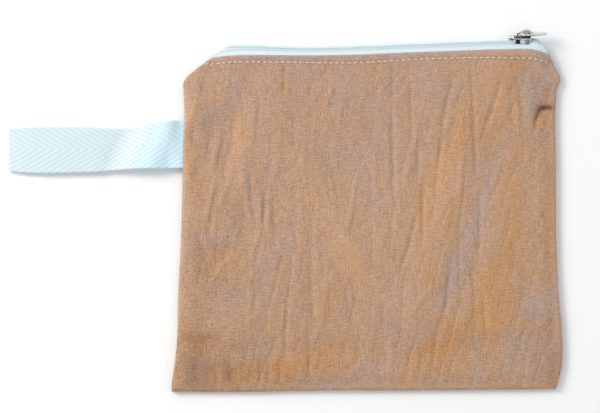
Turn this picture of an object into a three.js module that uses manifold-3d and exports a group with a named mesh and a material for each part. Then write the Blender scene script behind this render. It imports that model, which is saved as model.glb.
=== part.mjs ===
// A flat zip pouch of thin cotton with a wrist loop, lying on its back.
// Millimetres. +X runs along the zip towards its closed end, +Y from the bottom seam to the zip,
// +Z up from the surface that the pouch lies on. The origin is the middle of the underside.
import * as THREE from 'three';
import Module from 'manifold-3d';
import { mergeVertices } from 'three/addons/utils/BufferGeometryUtils.js';

const wasm = await Module();
wasm.setup();

// Driving dimensions
const CLOTH = 1.2; // a wall of outer cloth
const GAP = 0.3; // clearance between pieces that touch
const CLOTH_HEIGHT = 190; // bottom seam to the folded edge along the zip
const RIM_TOP = 2 * CLOTH + GAP; // the front cloth's upper face at the side and bottom seams
const SEAM_ROLL = { height: 1.0, reach: 2.5 }; // the rounded roll of cloth just inside a seam
const LOFT = { height: 4.4, reach: 55 }; // the slow rise from the seams to the slack middle
const SEAM_RIDGE = { height: 0.3, inset: 6.5, width: 3.2 }; // seam allowance showing through the cloth
const UNDER_EDGE = { lift: 0.5, reach: 2.5 }; // the back cloth turning up to the seam
const ZIP_RISE = { from: 118, to: 188 }; // heights between which the cloth climbs to the zip
const EDGE_COVER = 0.5; // the front cloth's folded edge reaches past the tape's bend
const CHAMFER_FROM = 174; // height where the slanting top corners begin
const SIDE_CLIMB = { left: 24, right: 14 }; // how far in from each side seam the cloth is held low

const ZIP_TILT = THREE.MathUtils.degToRad(20); // how far the zip's face leans up from level
const TAPE = { thickness: 0.8, depth: -1.25, endDepth: -0.55, reach: 2.4, hidden: 6, drop: 0.9, backFold: 4.3 };
const COIL = { inner: 0.14, outer: 1.9, half: 0.6, taper: 0.3 };
const ZIP_END = { pinch: 0.15, left: 12, right: 10 }; // the zip narrows where its ends go into the side seams
const SLIDER_X = 86; // the middle of the slider's side walls

const LOOP = { thickness: 1.0, sewnIn: 5, lift: 2.6, spread: 26, fade: 16 };

// The side seams seen from above: distance of each from the middle line, by height above the bottom seam.
const SIDE_SEAMS = [
  { up: 0, left: -110.6, right: 105.8 },
  { up: 6, left: -110.3, right: 107.6 },
  { up: 14, left: -109.0, right: 109.2 },
  { up: 32, left: -107.3, right: 109.2 },
  { up: 53, left: -106.9, right: 107.4 },
  { up: 85, left: -105.3, right: 106.1 },
  { up: 130, left: -104.2, right: 105.8 },
  { up: 163, left: -103.4, right: 105.8 },
  { up: 171, left: -103.8, right: 106.6 },
  { up: 175.5, left: -103.6, right: 108.4 },
  { up: 178, left: -101.8, right: 107.9 },
  { up: 182, left: -98.4, right: 105.9 },
  { up: CLOTH_HEIGHT, left: -88.0, right: 101.9 },
];

// The bottom seam from the left corner to the right.
const BOTTOM_SEAM = [
  { x: -111, y: -97.6 },
  { x: -66, y: -97.6 },
  { x: -30, y: -96.5 },
  { x: 10, y: -96.3 },
  { x: 60, y: -95.9 },
  { x: 110, y: -95.4 },
];

// The middle of the closed teeth, from the left end of the zip to the right, with the front cloth's folded
// edge beside it: the y of the fold, and how far its tape rises above the teeth.
const ZIP_LINE = [
  { x: -88.5, y: 91.4, z: 3.0, fold: 90.0, rise: 0.3 },
  { x: -84, y: 94.0, z: 3.4, fold: 90.4, rise: 1.2 },
  { x: -80, y: 95.5, z: 4.0, fold: 90.8, rise: 2.2 },
  { x: -75, y: 96.3, z: 4.8, fold: 91.1, rise: 3.2 },
  { x: -66, y: 96.6, z: 5.8, fold: 91.2, rise: 4.0 },
  { x: -54, y: 96.0, z: 6.4, fold: 91.1, rise: 4.3 },
  { x: -38, y: 95.5, z: 6.5, fold: 91.0, rise: 4.3 },
  { x: -10, y: 96.0, z: 6.5, fold: 91.3, rise: 4.3 },
  { x: 18, y: 97.2, z: 6.5, fold: 92.4, rise: 4.3 },
  { x: 46, y: 98.3, z: 6.5, fold: 93.4, rise: 4.3 },
  { x: 74, y: 99.3, z: 6.5, fold: 94.4, rise: 4.3 },
  { x: 86, y: 99.7, z: 6.5, fold: 94.7, rise: 4.3 },
  { x: 92, y: 99.8, z: 6.4, fold: 94.5, rise: 4.2 },
  { x: 96, y: 99.0, z: 5.8, fold: 93.7, rise: 3.6 },
  { x: 99.5, y: 96.0, z: 4.4, fold: 92.8, rise: 2.0 },
  { x: 102.5, y: 92.8, z: 3.0, fold: 92.0, rise: 0.3 },
];

// Where the teeth and the folded cloth edge stop, short of the side seams.
const ZIP_STOPS = { coil: [-81, 98.5], fold: [-87.6, 101.6] };

// The main folds of the front cloth: a ridge or, below zero, a valley from one point to another.
const FOLDS = [
  { x0: 58, y0: 50, x1: 35, y1: -54, half: 8, height: 1.5 },
  { x0: 73, y0: 36, x1: 48, y1: -58, half: 6, height: -0.4 },
  { x0: 84, y0: 34, x1: 73, y1: -48, half: 8, height: 0.9 },
  { x0: -67, y0: 52, x1: -79, y1: 12, half: 6, height: 1.1 },
  { x0: -80, y0: 50, x1: -91, y1: -6, half: 5, height: -0.5 },
  { x0: -46, y0: 2, x1: -89, y1: -34, half: 7, height: 0.8 },
  { x0: -36, y0: 30, x1: 2, y1: -48, half: 8, height: 0.7 },
  { x0: -92, y0: -76, x1: -10, y1: -74, half: 6, height: -0.7 },
  { x0: 20, y0: -76, x1: 96, y1: -70, half: 6, height: -0.6 },
  { x0: 104, y0: 62, x1: 94, y1: 60, half: 5, height: -1.4 },
  { x0: 88, y0: 78, x1: 96, y1: 74, half: 8, height: 1.1 },
];

// The wrist loop seen from above and from the side: middle line, width, and the two layers' middles.
const LOOP_LINE = [
  { x: -201.5, y: 38.4, width: 24.4, upper: 1.75, lower: 0.52 },
  { x: -197, y: 38.3, width: 25.2, upper: 2.3, lower: 0.5 },
  { x: -182, y: 38.3, width: 26.4, upper: 3.0, lower: 0.5 },
  { x: -165, y: 38.4, width: 25.8, upper: 3.2, lower: 0.5 },
  { x: -148, y: 38.4, width: 24.6, upper: 4.0, lower: 0.5 },
  { x: -136, y: 38.9, width: 22.8, upper: 6.4, lower: 0.5 },
  { x: -124, y: 40.3, width: 25.0, upper: 7.8, lower: 0.5 },
  { x: -115, y: 41.3, width: 27.0, upper: 6.8, lower: 0.6 },
  { x: -107, y: 41.4, width: 27.0, upper: 3.9, lower: 1.5 },
  { x: -103, y: 41.4, width: 26.6, upper: 3.0, lower: 2.0 },
  { x: -98, y: 41.4, width: 26.6, upper: 3.0, lower: 2.0 },
];

const COTTON = new THREE.MeshStandardMaterial({ color: 0xb98a66, roughness: 0.92, metalness: 0 });
const WHITE_TAPE = new THREE.MeshStandardMaterial({ color: 0xdde9ee, roughness: 0.9, metalness: 0 });
const NYLON = new THREE.MeshStandardMaterial({ color: 0xd8e4ea, roughness: 0.45, metalness: 0 });
const NICKEL = new THREE.MeshStandardMaterial({ color: 0xa9acad, roughness: 0.28, metalness: 1 });

const { lerp, smoothstep, clamp } = THREE.MathUtils;

// A smooth curve through one column of a table.
function columnOf(table, key, column) {
  const rows = new THREE.CubicInterpolant(table.map((row) => row[key]), table.map((row) => row[column]), 1);
  return (value) => rows.evaluate(value)[0];
}

const leftSeam = columnOf(SIDE_SEAMS, 'up', 'left');
const rightSeam = columnOf(SIDE_SEAMS, 'up', 'right');
const zipY = columnOf(ZIP_LINE, 'x', 'y');
const zipZ = columnOf(ZIP_LINE, 'x', 'z');
const foldY = columnOf(ZIP_LINE, 'x', 'fold');
const foldRise = columnOf(ZIP_LINE, 'x', 'rise');
const bottomSeam = columnOf(BOTTOM_SEAM, 'x', 'y');

// A closed mesh from rings of points: neighbouring rings are joined, and the first and last are capped.
// A ring that bends has its cap filled as a strip between its first and second half.
function loftRings(rings) {
  const count = rings[0].length;
  const positions = rings.flat().flatMap((p) => [p.x, p.y, p.z]);
  const faces = [];
  for (let i = 0; i + 1 < rings.length; i++) {
    for (let j = 0; j < count; j++) {
      const a = i * count + j;
      const b = i * count + ((j + 1) % count);
      faces.push(a, b, b + count, a, b + count, a + count);
    }
  }
  for (let j = 0; j + 1 < count / 2; j++) {
    const [a, b, c, d] = [j, j + 1, count - 2 - j, count - 1 - j];
    const last = (rings.length - 1) * count;
    faces.push(a, c, b, a, d, c);
    faces.push(last + a, last + b, last + c, last + a, last + c, last + d);
  }
  const geometry = new THREE.BufferGeometry();
  geometry.setAttribute('position', new THREE.Float32BufferAttribute(positions, 3));
  geometry.setIndex(faces);
  return facingOut(geometry);
}

// Turns a closed mesh round if its faces point inwards.
function facingOut(geometry) {
  const p = geometry.getAttribute('position');
  const index = geometry.index.array;
  const [a, b, c] = [new THREE.Vector3(), new THREE.Vector3(), new THREE.Vector3()];
  let volume = 0;
  for (let i = 0; i < index.length; i += 3) {
    a.fromBufferAttribute(p, index[i]);
    b.fromBufferAttribute(p, index[i + 1]);
    c.fromBufferAttribute(p, index[i + 2]);
    volume += a.dot(b.cross(c));
  }
  if (volume < 0) {
    for (let i = 0; i < index.length; i += 3) [index[i + 1], index[i + 2]] = [index[i + 2], index[i + 1]];
  }
  return geometry;
}

// A cloth wall on a grid: corner(i, j) gives x, y, top and under of each grid point.
function clothWall(columns, rows, corner) {
  const rings = rows.map((up) => {
    const across = columns.map((s) => corner(s, up));
    const upper = across.map((c) => new THREE.Vector3(c.x, c.y, c.top));
    const lower = across.map((c) => new THREE.Vector3(c.x, c.y, c.under)).reverse();
    return [...upper, ...lower];
  });
  return loftRings(rings);
}

// Grid stations from 0 to 1 that lie closer together towards the chosen ends.
function stations(count, closeAtStart, closeAtEnd) {
  const bend = (v) => v - (Math.sin(2 * Math.PI * v) / (2 * Math.PI)) * 0.8;
  return Array.from({ length: count + 1 }, (_, i) => {
    const v = i / count;
    if (closeAtStart && closeAtEnd) return bend(v);
    if (closeAtStart) return 2 * bend(v / 2);
    return closeAtEnd ? 2 * bend(0.5 + v / 2) - 1 : v;
  });
}

// The zip's cross-section frame: across runs to the back, out runs away from the pouch.
const ACROSS = new THREE.Vector3(0, Math.sin(ZIP_TILT), -Math.cos(ZIP_TILT));
const OUT = new THREE.Vector3(0, Math.cos(ZIP_TILT), Math.sin(ZIP_TILT));

function zipPoint(x, across, out) {
  return new THREE.Vector3(x, zipY(x), zipZ(x)).addScaledVector(ACROSS, across).addScaledVector(OUT, out);
}

// How far the zip's section is squeezed at x: 1 along its length, less in the last stretch at each end.
function zipFullness(x) {
  const [first, last] = ZIP_STOPS.fold;
  const open = smoothstep(x - first, 0, ZIP_END.left) * smoothstep(last - x, 0, ZIP_END.right);
  return lerp(ZIP_END.pinch, 1, open);
}

// How deep the tapes lie behind the teeth at x.
function tapeDepth(x) {
  return lerp(TAPE.endDepth, TAPE.depth, zipFullness(x));
}

// How far each row of teeth stands off the middle: apart ahead of the slider, meshed behind it.
function teethApart(x) {
  const ahead = smoothstep(x, SLIDER_X - 0.5, SLIDER_X + 5);
  const towardsSeam = smoothstep(x, SLIDER_X + 7, ZIP_STOPS.coil[1]);
  return 1.35 * ahead * (1 - 0.5 * towardsSeam);
}

// The tape's bend under the folded cloth edge. side is -1 for the front tape and 1 for the back one.
function tapeBend(x, side) {
  if (side < 0) return new THREE.Vector3(x, foldY(x), zipZ(x) + foldRise(x));
  const bend = zipPoint(x, TAPE.backFold * zipFullness(x), tapeDepth(x));
  return bend.setZ(CLOTH + GAP + TAPE.thickness / 2);
}

// The front cloth's upper face along its folded edge lies over the tape.
const foldTop = (x) => tapeBend(x, -1).z + TAPE.thickness / 2 + GAP + CLOTH;
const frontFoldY = (x) => foldY(x) + EDGE_COVER;
const backFoldY = (x) => foldY(x) - 0.1;

// Distance to a segment and the place along it, for a fold.
function foldHeight(fold, x, y) {
  const along = new THREE.Vector2(fold.x1 - fold.x0, fold.y1 - fold.y0);
  const from = new THREE.Vector2(x - fold.x0, y - fold.y0);
  const place = clamp(from.dot(along) / along.lengthSq(), 0, 1);
  const off = from.addScaledVector(along, -place).length() / fold.half;
  return fold.height * Math.exp(-off * off);
}

// One grid point of the cloth outline: s runs from the left seam to the right, up from the bottom seam.
function outlinePoint(s, up, topEdge) {
  const x = lerp(leftSeam(up), rightSeam(up), s);
  const edgeY = topEdge(clamp(x, ...ZIP_STOPS.fold));
  return { x, y: lerp(bottomSeam(x), edgeY, up / CLOTH_HEIGHT) };
}

function seamRise(distance) {
  const rolled = 1 - clamp(distance / SEAM_ROLL.reach, 0, 1);
  const ridge = (distance - SEAM_RIDGE.inset) / SEAM_RIDGE.width;
  return SEAM_ROLL.height * Math.sqrt(1 - rolled * rolled)
    + LOFT.height * smoothstep(distance, 0, LOFT.reach)
    + SEAM_RIDGE.height * Math.exp(-ridge * ridge);
}

function frontCorner(s, up) {
  const { x, y } = outlinePoint(s, up, frontFoldY);
  const [fromLeft, fromRight] = [x - leftSeam(up), rightSeam(up) - x];
  const toSeam = Math.min(fromLeft, fromRight, up);
  const atSeam = smoothstep(up, CHAMFER_FROM, CLOTH_HEIGHT);
  const offSides = smoothstep(fromLeft, 0, SIDE_CLIMB.left) * smoothstep(fromRight, 0, SIDE_CLIMB.right);
  const towardsZip = lerp(atSeam, smoothstep(up, ZIP_RISE.from, ZIP_RISE.to), offSides);
  const edgeTop = foldTop(clamp(x, ...ZIP_STOPS.fold));
  let top = lerp(RIM_TOP + seamRise(toSeam), edgeTop, towardsZip);
  const inside = smoothstep(toSeam, 2, 14) * smoothstep(CLOTH_HEIGHT - up, 2, 14);
  top += inside * FOLDS.reduce((sum, fold) => sum + foldHeight(fold, x, y), 0);
  const beside = (y - LOOP_LINE.at(-1).y) / LOOP.spread;
  top += LOOP.lift * Math.exp(-(beside ** 4)) * (1 - smoothstep(fromLeft, 2, LOOP.fade));
  return { x, y, top, under: top - CLOTH };
}

function backCorner(s, up) {
  const { x, y } = outlinePoint(s, up, backFoldY);
  const toSide = Math.min(x - leftSeam(up), rightSeam(up) - x);
  const turned = 1 - smoothstep(Math.min(toSide, up, CLOTH_HEIGHT - up), 0, UNDER_EDGE.reach);
  return { x, y, top: CLOTH, under: UNDER_EDGE.lift * turned };
}

function frontPanel() {
  const columns = stations(34, true, true);
  const rows = stations(34, true, true).map((t) => t * CLOTH_HEIGHT);
  return clothWall(columns, rows, frontCorner);
}

function backPanel() {
  const columns = stations(20, true, true);
  const rows = stations(20, true, true).map((t) => t * CLOTH_HEIGHT);
  return clothWall(columns, rows, backCorner);
}

// The two faces of a strip whose middle follows the points of one cross-section, as a closed ring.
function stripRing(middle, thickness) {
  const normals = middle.map((p, i) => {
    const along = middle[Math.min(i + 1, middle.length - 1)].clone().sub(middle[Math.max(i - 1, 0)]);
    return new THREE.Vector3(0, -along.z, along.y).normalize();
  });
  const face = (sign) => middle.map((p, i) => p.clone().addScaledVector(normals[i], (sign * thickness) / 2));
  return [...face(1), ...face(-1).reverse()];
}

// A zip tape: flat beside the teeth, then bent in under the folded edge of its cloth.
function zipTape(side) {
  const [start, end] = ZIP_STOPS.fold;
  const rings = stations(40, true, true).map((u) => {
    const x = lerp(start + 1, end - 1, u);
    const full = zipFullness(x);
    const inner = zipPoint(x, side * (COIL.inner + 0.1 + teethApart(x)), tapeDepth(x));
    const plane = zipPoint(x, side * (TAPE.reach * full + teethApart(x)), tapeDepth(x));
    const turn = tapeBend(x, side);
    const hidden = turn.clone();
    hidden.y -= TAPE.hidden * full ** 2;
    hidden.z -= side < 0 ? TAPE.drop : 0;
    return stripRing([inner, plane, turn, hidden], TAPE.thickness);
  });
  return loftRings(rings);
}

// One row of teeth as a rail with rounded edges.
function coilRow(side) {
  const [start, end] = ZIP_STOPS.coil;
  const { inner, outer, half, taper } = COIL;
  const outline = [
    [inner, -half + taper], [inner, half - taper], [inner + taper, half], [outer - taper, half],
    [outer, half - taper], [outer, -half + taper], [outer - taper, -half], [inner + taper, -half],
  ];
  const rings = stations(40, true, true).map((u) => {
    const x = lerp(start + 1, end - 1, u);
    const full = zipFullness(x);
    return outline.map(([across, out]) => zipPoint(x, side * (across * full + teethApart(x)), out * full));
  });
  return loftRings(rings);
}

// Extrudes a flat outline drawn in the slider's plane from one height to another.
function slab(points, from, to) {
  const shape = new THREE.Shape(points.map(([x, y]) => new THREE.Vector2(x, y)));
  return new THREE.ExtrudeGeometry(shape, { depth: to - from, bevelEnabled: false, curveSegments: 6 })
    .translate(0, 0, from);
}

function asSolid(geometry) {
  const bare = geometry.clone();
  bare.deleteAttribute('normal');
  bare.deleteAttribute('uv');
  const merged = mergeVertices(bare, 1e-4);
  return new wasm.Manifold(new wasm.Mesh({
    numProp: 3,
    vertProperties: merged.getAttribute('position').array,
    triVerts: new Uint32Array(merged.index.array),
  }));
}

function asGeometry(solid) {
  const mesh = solid.getMesh();
  const geometry = new THREE.BufferGeometry();
  geometry.setAttribute('position', new THREE.BufferAttribute(new Float32Array(mesh.vertProperties), 3));
  geometry.setIndex(new THREE.BufferAttribute(new Uint32Array(mesh.triVerts), 1));
  return geometry;
}

// Slider, in its own frame: x along the zip, y to the back, z out of the zip.
const SLIDER = {
  rear: -7.4, front: 5.6, rearHalf: 2.2, neckHalf: 3.0, frontHalf: 4.3,
  plate: [0.9, 2.4], base: [-2.7, -1.95], baseHalf: 2.2, baseFrontHalf: 3.0,
  wallFrom: -4.4, wallTo: 4.4, wallFoot: -0.5, wall: 0.75,
  postFrom: 1.6, postTo: 5.2, postHalf: 0.8,
};
const CROWN = { from: -1.8, to: 5.9, top: 6.8, half: 0.75, foot: 1.3, roof: 1.5, shoulder: 1.6 };
const PULL = {
  pivotX: 0.75, pivotZ: 3.6, bar: 0.55, thickness: 1.1, slotHalf: 1.15, slotEnd: 6.7,
  eyeHalf: 2.7, tip: 14.6, tipHalf: 1.7, corner: 0.6,
};

function mirrored(half) {
  return [...half, ...half.map(([x, y]) => [x, -y]).reverse()];
}

function sliderBody() {
  const s = SLIDER;
  const plate = slab(mirrored([
    [s.rear, 0.9], [s.rear + 0.9, s.rearHalf], [s.wallFrom - 0.6, s.rearHalf + 0.2],
    [s.wallFrom, s.neckHalf], [s.wallFrom + 3, s.neckHalf], [s.wallTo, s.frontHalf], [s.front, 3.2],
  ]), ...s.plate);
  const base = slab(mirrored([
    [s.rear + 2.4, 0.9], [s.wallFrom, s.baseHalf], [s.wallFrom + 3, s.baseHalf],
    [s.wallTo, s.baseFrontHalf], [s.front, 2.8],
  ]), ...s.base);
  const wallOutline = (side) => [
    [s.wallFrom, s.neckHalf], [s.wallFrom + 3, s.neckHalf], [s.wallTo, s.frontHalf],
    [s.wallTo, s.frontHalf - s.wall], [s.wallFrom + 3, s.neckHalf - s.wall], [s.wallFrom, s.neckHalf - s.wall],
  ].map(([x, y]) => [x, side * y]);
  const walls = [wallOutline(1).reverse(), wallOutline(-1)]
    .map((outline) => slab(outline, s.wallFoot, s.plate[0] + 0.2));
  const middle = (s.postFrom + s.postTo) / 2;
  const post = slab(mirrored([
    [s.postFrom, 0.15], [middle, s.postHalf], [s.postTo, 0.4],
  ]), s.base[1] - 0.2, s.plate[0] + 0.2);
  return asGeometry([base, ...walls, post, crown()]
    .reduce((solid, piece) => solid.add(asSolid(piece)), asSolid(plate)));
}

// The arch over the slider that holds the pull.
function crown() {
  const c = CROWN;
  const foot = SLIDER.plate[1] - 0.2;
  const arch = new THREE.Shape();
  arch.moveTo(c.from, foot);
  arch.lineTo(c.from + 0.2, c.top - c.shoulder - 0.9);
  arch.quadraticCurveTo(c.from + 0.7, c.top, c.from + 0.7 + c.shoulder, c.top);
  arch.lineTo(c.to - 1.2 - c.shoulder, c.top);
  arch.quadraticCurveTo(c.to - 0.6, c.top, c.to, foot);
  arch.lineTo(c.to - c.foot, foot);
  arch.quadraticCurveTo(c.to - c.foot - 0.4, c.top - c.roof, c.to - c.foot - c.shoulder, c.top - c.roof);
  arch.lineTo(c.from + c.foot + 0.3, c.top - c.roof);
  arch.lineTo(c.from + c.foot, foot);
  const geometry = new THREE.ExtrudeGeometry(arch, { depth: 2 * c.half, bevelEnabled: false, curveSegments: 5 });
  return geometry.rotateX(Math.PI / 2).translate(0, c.half, 0);
}

// The pull, drawn from its pivot: a tapered tab with a slot that the crown passes through.
function pullTab() {
  const p = PULL;
  const tip = p.tip - p.pivotX;
  const slotEnd = p.slotEnd - p.pivotX;
  const shape = new THREE.Shape(mirrored([
    [-p.bar, p.eyeHalf - p.corner], [-p.bar + 0.3, p.eyeHalf], [slotEnd, p.eyeHalf],
    [tip - p.corner, p.tipHalf + 0.1], [tip, p.tipHalf - p.corner],
  ]).map(([x, y]) => new THREE.Vector2(x, y)));
  const slot = new THREE.Path([
    [p.bar, -p.slotHalf], [slotEnd, -p.slotHalf], [slotEnd, p.slotHalf], [p.bar, p.slotHalf],
  ].map(([x, y]) => new THREE.Vector2(x, y)));
  shape.holes.push(slot);
  return new THREE.ExtrudeGeometry(shape, { depth: p.thickness, bevelEnabled: false })
    .translate(0, 0, -p.thickness / 2);
}

// The wrist loop: one strip of tape folded back on itself, its ends sewn together into the side seam.
function wristLoop() {
  const column = (name) => columnOf(LOOP_LINE, 'x', name);
  const [upper, lower, centre, width] = ['upper', 'lower', 'y', 'width'].map(column);
  const half = LOOP.thickness / 2;
  const first = LOOP_LINE[0].x;
  const sewn = LOOP_LINE.at(-2).x;
  const last = sewn + LOOP.sewnIn - 0.2;
  const places = stations(26, true, false).map((u) => lerp(first + 0.1, sewn, u));
  const outline = [
    ...places.map((x) => [x, upper(x) + half]), [last, upper(last) + half],
    [last, lower(last) - half], ...places.map((x) => [x, Math.max(lower(x) - half, 0)]).reverse(),
    [first - 0.9, 1.0],
  ];
  const inner = places.filter((x) => upper(x) - lower(x) > LOOP.thickness + GAP);
  const hole = [
    ...inner.map((x) => [x, lower(x) + half]), ...inner.map((x) => [x, upper(x) - half]).reverse(),
  ];
  const shape = new THREE.Shape(outline.map(([x, z]) => new THREE.Vector2(x, z)));
  shape.holes.push(new THREE.Path(hole.map(([x, z]) => new THREE.Vector2(x, z))));
  const geometry = new THREE.ExtrudeGeometry(shape, { depth: 1, bevelEnabled: false })
    .translate(0, 0, -0.5).rotateX(Math.PI / 2);
  const p = geometry.getAttribute('position');
  for (let i = 0; i < p.count; i++) {
    const x = clamp(p.getX(i), first, last);
    p.setY(i, centre(x) + Math.sign(p.getY(i)) * width(x) / 2);
  }
  return geometry;
}

function piece(name, geometry, material) {
  const mesh = new THREE.Mesh(geometry, material);
  mesh.name = name;
  return mesh;
}

// The slider and its pull stand in the zip's own frame, turned to the line of the teeth.
function sliderGroup() {
  const group = new THREE.Group();
  const ahead = zipPoint(SLIDER_X + 1, 0, 0).sub(zipPoint(SLIDER_X - 1, 0, 0));
  const turn = Math.atan2(ahead.y, ahead.x);
  group.position.copy(zipPoint(SLIDER_X, 0, 0));
  const frame = new THREE.Matrix4().makeBasis(new THREE.Vector3(1, 0, 0), ACROSS, OUT);
  group.quaternion.setFromRotationMatrix(frame);
  group.quaternion.premultiply(new THREE.Quaternion().setFromAxisAngle(new THREE.Vector3(0, 0, 1), turn));
  const pull = piece('pull_tab', pullTab(), NICKEL);
  pull.position.set(PULL.pivotX, 0, PULL.pivotZ);
  group.add(piece('slider_body', sliderBody(), NICKEL), pull);
  return group;
}

const pouch = new THREE.Group();
pouch.add(
  piece('back_panel', backPanel(), COTTON),
  piece('front_panel', frontPanel(), COTTON),
  piece('front_zip_tape', zipTape(-1), WHITE_TAPE),
  piece('back_zip_tape', zipTape(1), WHITE_TAPE),
  piece('front_coil', coilRow(-1), NYLON),
  piece('back_coil', coilRow(1), NYLON),
  sliderGroup(),
  piece('wrist_loop', wristLoop(), WHITE_TAPE),
);

export default pouch;
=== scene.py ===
# %% [markdown]
# # A cotton zip pouch with a wrist loop
# This lesson dresses a plain solid model of a flat toiletry bag so that it looks like the real one,
# photographed from straight above. The solid model comes first and never changes: each piece below is a
# new surface, and all but the stitches stand in the place of one of its solids.

# %% Load the solid model
import math

import bpy
import numpy as np
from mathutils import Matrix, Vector


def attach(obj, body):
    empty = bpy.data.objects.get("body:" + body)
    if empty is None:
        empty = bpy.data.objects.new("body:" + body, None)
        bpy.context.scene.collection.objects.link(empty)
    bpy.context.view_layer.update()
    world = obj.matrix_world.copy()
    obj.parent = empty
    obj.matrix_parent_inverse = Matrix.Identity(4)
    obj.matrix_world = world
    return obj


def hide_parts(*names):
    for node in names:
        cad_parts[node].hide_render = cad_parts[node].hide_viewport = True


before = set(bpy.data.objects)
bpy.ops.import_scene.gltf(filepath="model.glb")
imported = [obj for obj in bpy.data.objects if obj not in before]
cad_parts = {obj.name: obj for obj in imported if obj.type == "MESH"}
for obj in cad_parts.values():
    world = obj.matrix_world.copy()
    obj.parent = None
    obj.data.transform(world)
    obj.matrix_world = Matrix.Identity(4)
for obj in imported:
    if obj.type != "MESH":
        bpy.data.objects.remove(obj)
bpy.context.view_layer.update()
print("solids:", sorted(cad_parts))

# %% [markdown]
# The camera looks straight down, as in the photo. The loop's tape is 25 mm wide and 44.5 pixels wide in
# the picture, so one millimetre is 1.78 pixels, and that fixes what the frame takes in. A long lens from
# far off keeps the outline free of perspective, which is why the camera stands two metres away instead of
# close by.

# %% Camera
MM = 0.001
PHOTO_SIZE = (600, 413)
PIXELS_PER_MM = 1.78
ORIGIN_PIXEL = (368, 218)  # where the middle of the bag's underside is in the picture
CAMERA_HEIGHT = 2.0
BAG_MIDDLE_HEIGHT = 0.006
SENSOR_WIDTH = 36

camera_data = bpy.data.cameras.new("camera")
camera = bpy.data.objects.new("camera", camera_data)
scene = bpy.context.scene
scene.collection.objects.link(camera)
scene.camera = camera
frame_width = PHOTO_SIZE[0] / PIXELS_PER_MM * MM
middle_x = (PHOTO_SIZE[0] / 2 - ORIGIN_PIXEL[0]) / PIXELS_PER_MM * MM
middle_y = (ORIGIN_PIXEL[1] - PHOTO_SIZE[1] / 2) / PIXELS_PER_MM * MM
camera.location = (middle_x, middle_y, CAMERA_HEIGHT)
camera_data.sensor_width = SENSOR_WIDTH
camera_data.lens = SENSOR_WIDTH * (CAMERA_HEIGHT - BAG_MIDDLE_HEIGHT) / frame_width
print("camera lens, mm:", round(camera_data.lens))

# %% [markdown]
# The photo was lit softly, a little warmer and stronger from the upper left, with cool light from the sky
# filling in from the other side. One large warm lamp and a pale blue world do the same, and the floor and
# a flat piece of white tape come out white.

# %% Light
SKY_COLOUR, SKY_STRENGTH = (0.927, 0.96, 1.0, 1), 0.777
LAMP_PLACE, LAMP_SIZE, LAMP_POWER, LAMP_COLOUR = (-1.3, 0.75, 1.05), 0.7, 21, (1.0, 0.93, 0.84)

scene.view_settings.view_transform = "Standard"
world = bpy.data.worlds.new("sky")
scene.world = world
world.use_nodes = True
sky = world.node_tree.nodes["Background"]
sky.inputs["Color"].default_value = SKY_COLOUR
sky.inputs["Strength"].default_value = SKY_STRENGTH


def facing(place):
    """The turn that makes a thing at a place look at the bag."""
    return (-Vector(place)).to_track_quat("-Z", "Y").to_euler()


lamp_data = bpy.data.lights.new("warm_key", "AREA")
lamp_data.size = LAMP_SIZE
lamp_data.energy = LAMP_POWER
lamp_data.color = LAMP_COLOUR
lamp = bpy.data.objects.new("warm_key", lamp_data)
lamp.location = LAMP_PLACE
lamp.rotation_euler = facing(LAMP_PLACE)
scene.collection.objects.link(lamp)
print("lamp power, W:", LAMP_POWER, "sky strength:", SKY_STRENGTH)

# %% [markdown]
# The bag lies on a plain white floor. Metal shows what stands around it, so a dark card in front of the
# bag gives the slider its dark sides. The card is hidden from the camera itself. Both are staged: they
# aren't pieces of the bag.

# %% Floor and dark card
FLOOR_PLACE, FLOOR_HALF, FLOOR_WHITE = (0, 0, -0.0004), 3.0, (0.98, 0.98, 0.98)
CARD_PLACE, CARD_HALF, CARD_BLACK = (0.1, -1.0, 0.75), 0.4, (0.02, 0.025, 0.03)
SQUARE = ((-1, -1), (1, -1), (1, 1), (-1, 1))
MATT = 0.9


def stage_card(name, place, half, colour, turn=(0, 0, 0)):
    """A flat square board that isn't part of the bag, such as the floor."""
    mesh = bpy.data.meshes.new(name)
    corners = [(x * half, y * half, 0) for x, y in SQUARE]
    mesh.from_pydata(corners, [], [(0, 1, 2, 3)])
    card = bpy.data.objects.new(name, mesh)
    card.location = place
    card.rotation_euler = turn
    scene.collection.objects.link(card)
    paint = bpy.data.materials.new(name + "_paint")
    paint.use_nodes = True
    surface = paint.node_tree.nodes["Principled BSDF"]
    surface.inputs["Base Color"].default_value = (*colour, 1)
    surface.inputs["Roughness"].default_value = MATT
    mesh.materials.append(paint)
    return card


stage_card("pale_floor", FLOOR_PLACE, FLOOR_HALF, FLOOR_WHITE)
dark_card = stage_card("dark_card", CARD_PLACE, CARD_HALF, CARD_BLACK, facing(CARD_PLACE))
dark_card.visible_camera = False
dark_card.visible_shadow = False
print("staged: pale floor and", dark_card.name)

# %% [markdown]
# Shapes come from short tables of sizes and from curves. A table keeps its columns by name, and a smooth
# curve runs through each column. Three small curves are used everywhere: an S that blends from one thing
# to another, a bell for a ridge or a mark, and a quarter of a circle for a rounded edge.

# %% Tables and curves
def table(columns, *rows):
    """Rows of numbers kept as named columns."""
    return dict(zip(columns.split(), np.array(rows, float).T))


def smooth(at, value):
    """A curve through values at given places: a cubic between neighbours, whose slope at each place comes
    from the places beside it."""
    slope = np.gradient(value, at)

    def curve(x):
        """The cubic at x: both ends' values and slopes, each weighted by its own cubic."""
        x = np.clip(x, at[0], at[-1])
        i = np.clip(np.searchsorted(at, x) - 1, 0, len(at) - 2)
        span = at[i + 1] - at[i]
        t = (x - at[i]) / span
        start = (1 + 2 * t) * (1 - t) ** 2 * value[i] + t * (1 - t) ** 2 * span * slope[i]
        return start + t * t * (3 - 2 * t) * value[i + 1] + t * t * (t - 1) * span * slope[i + 1]

    return curve


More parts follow.
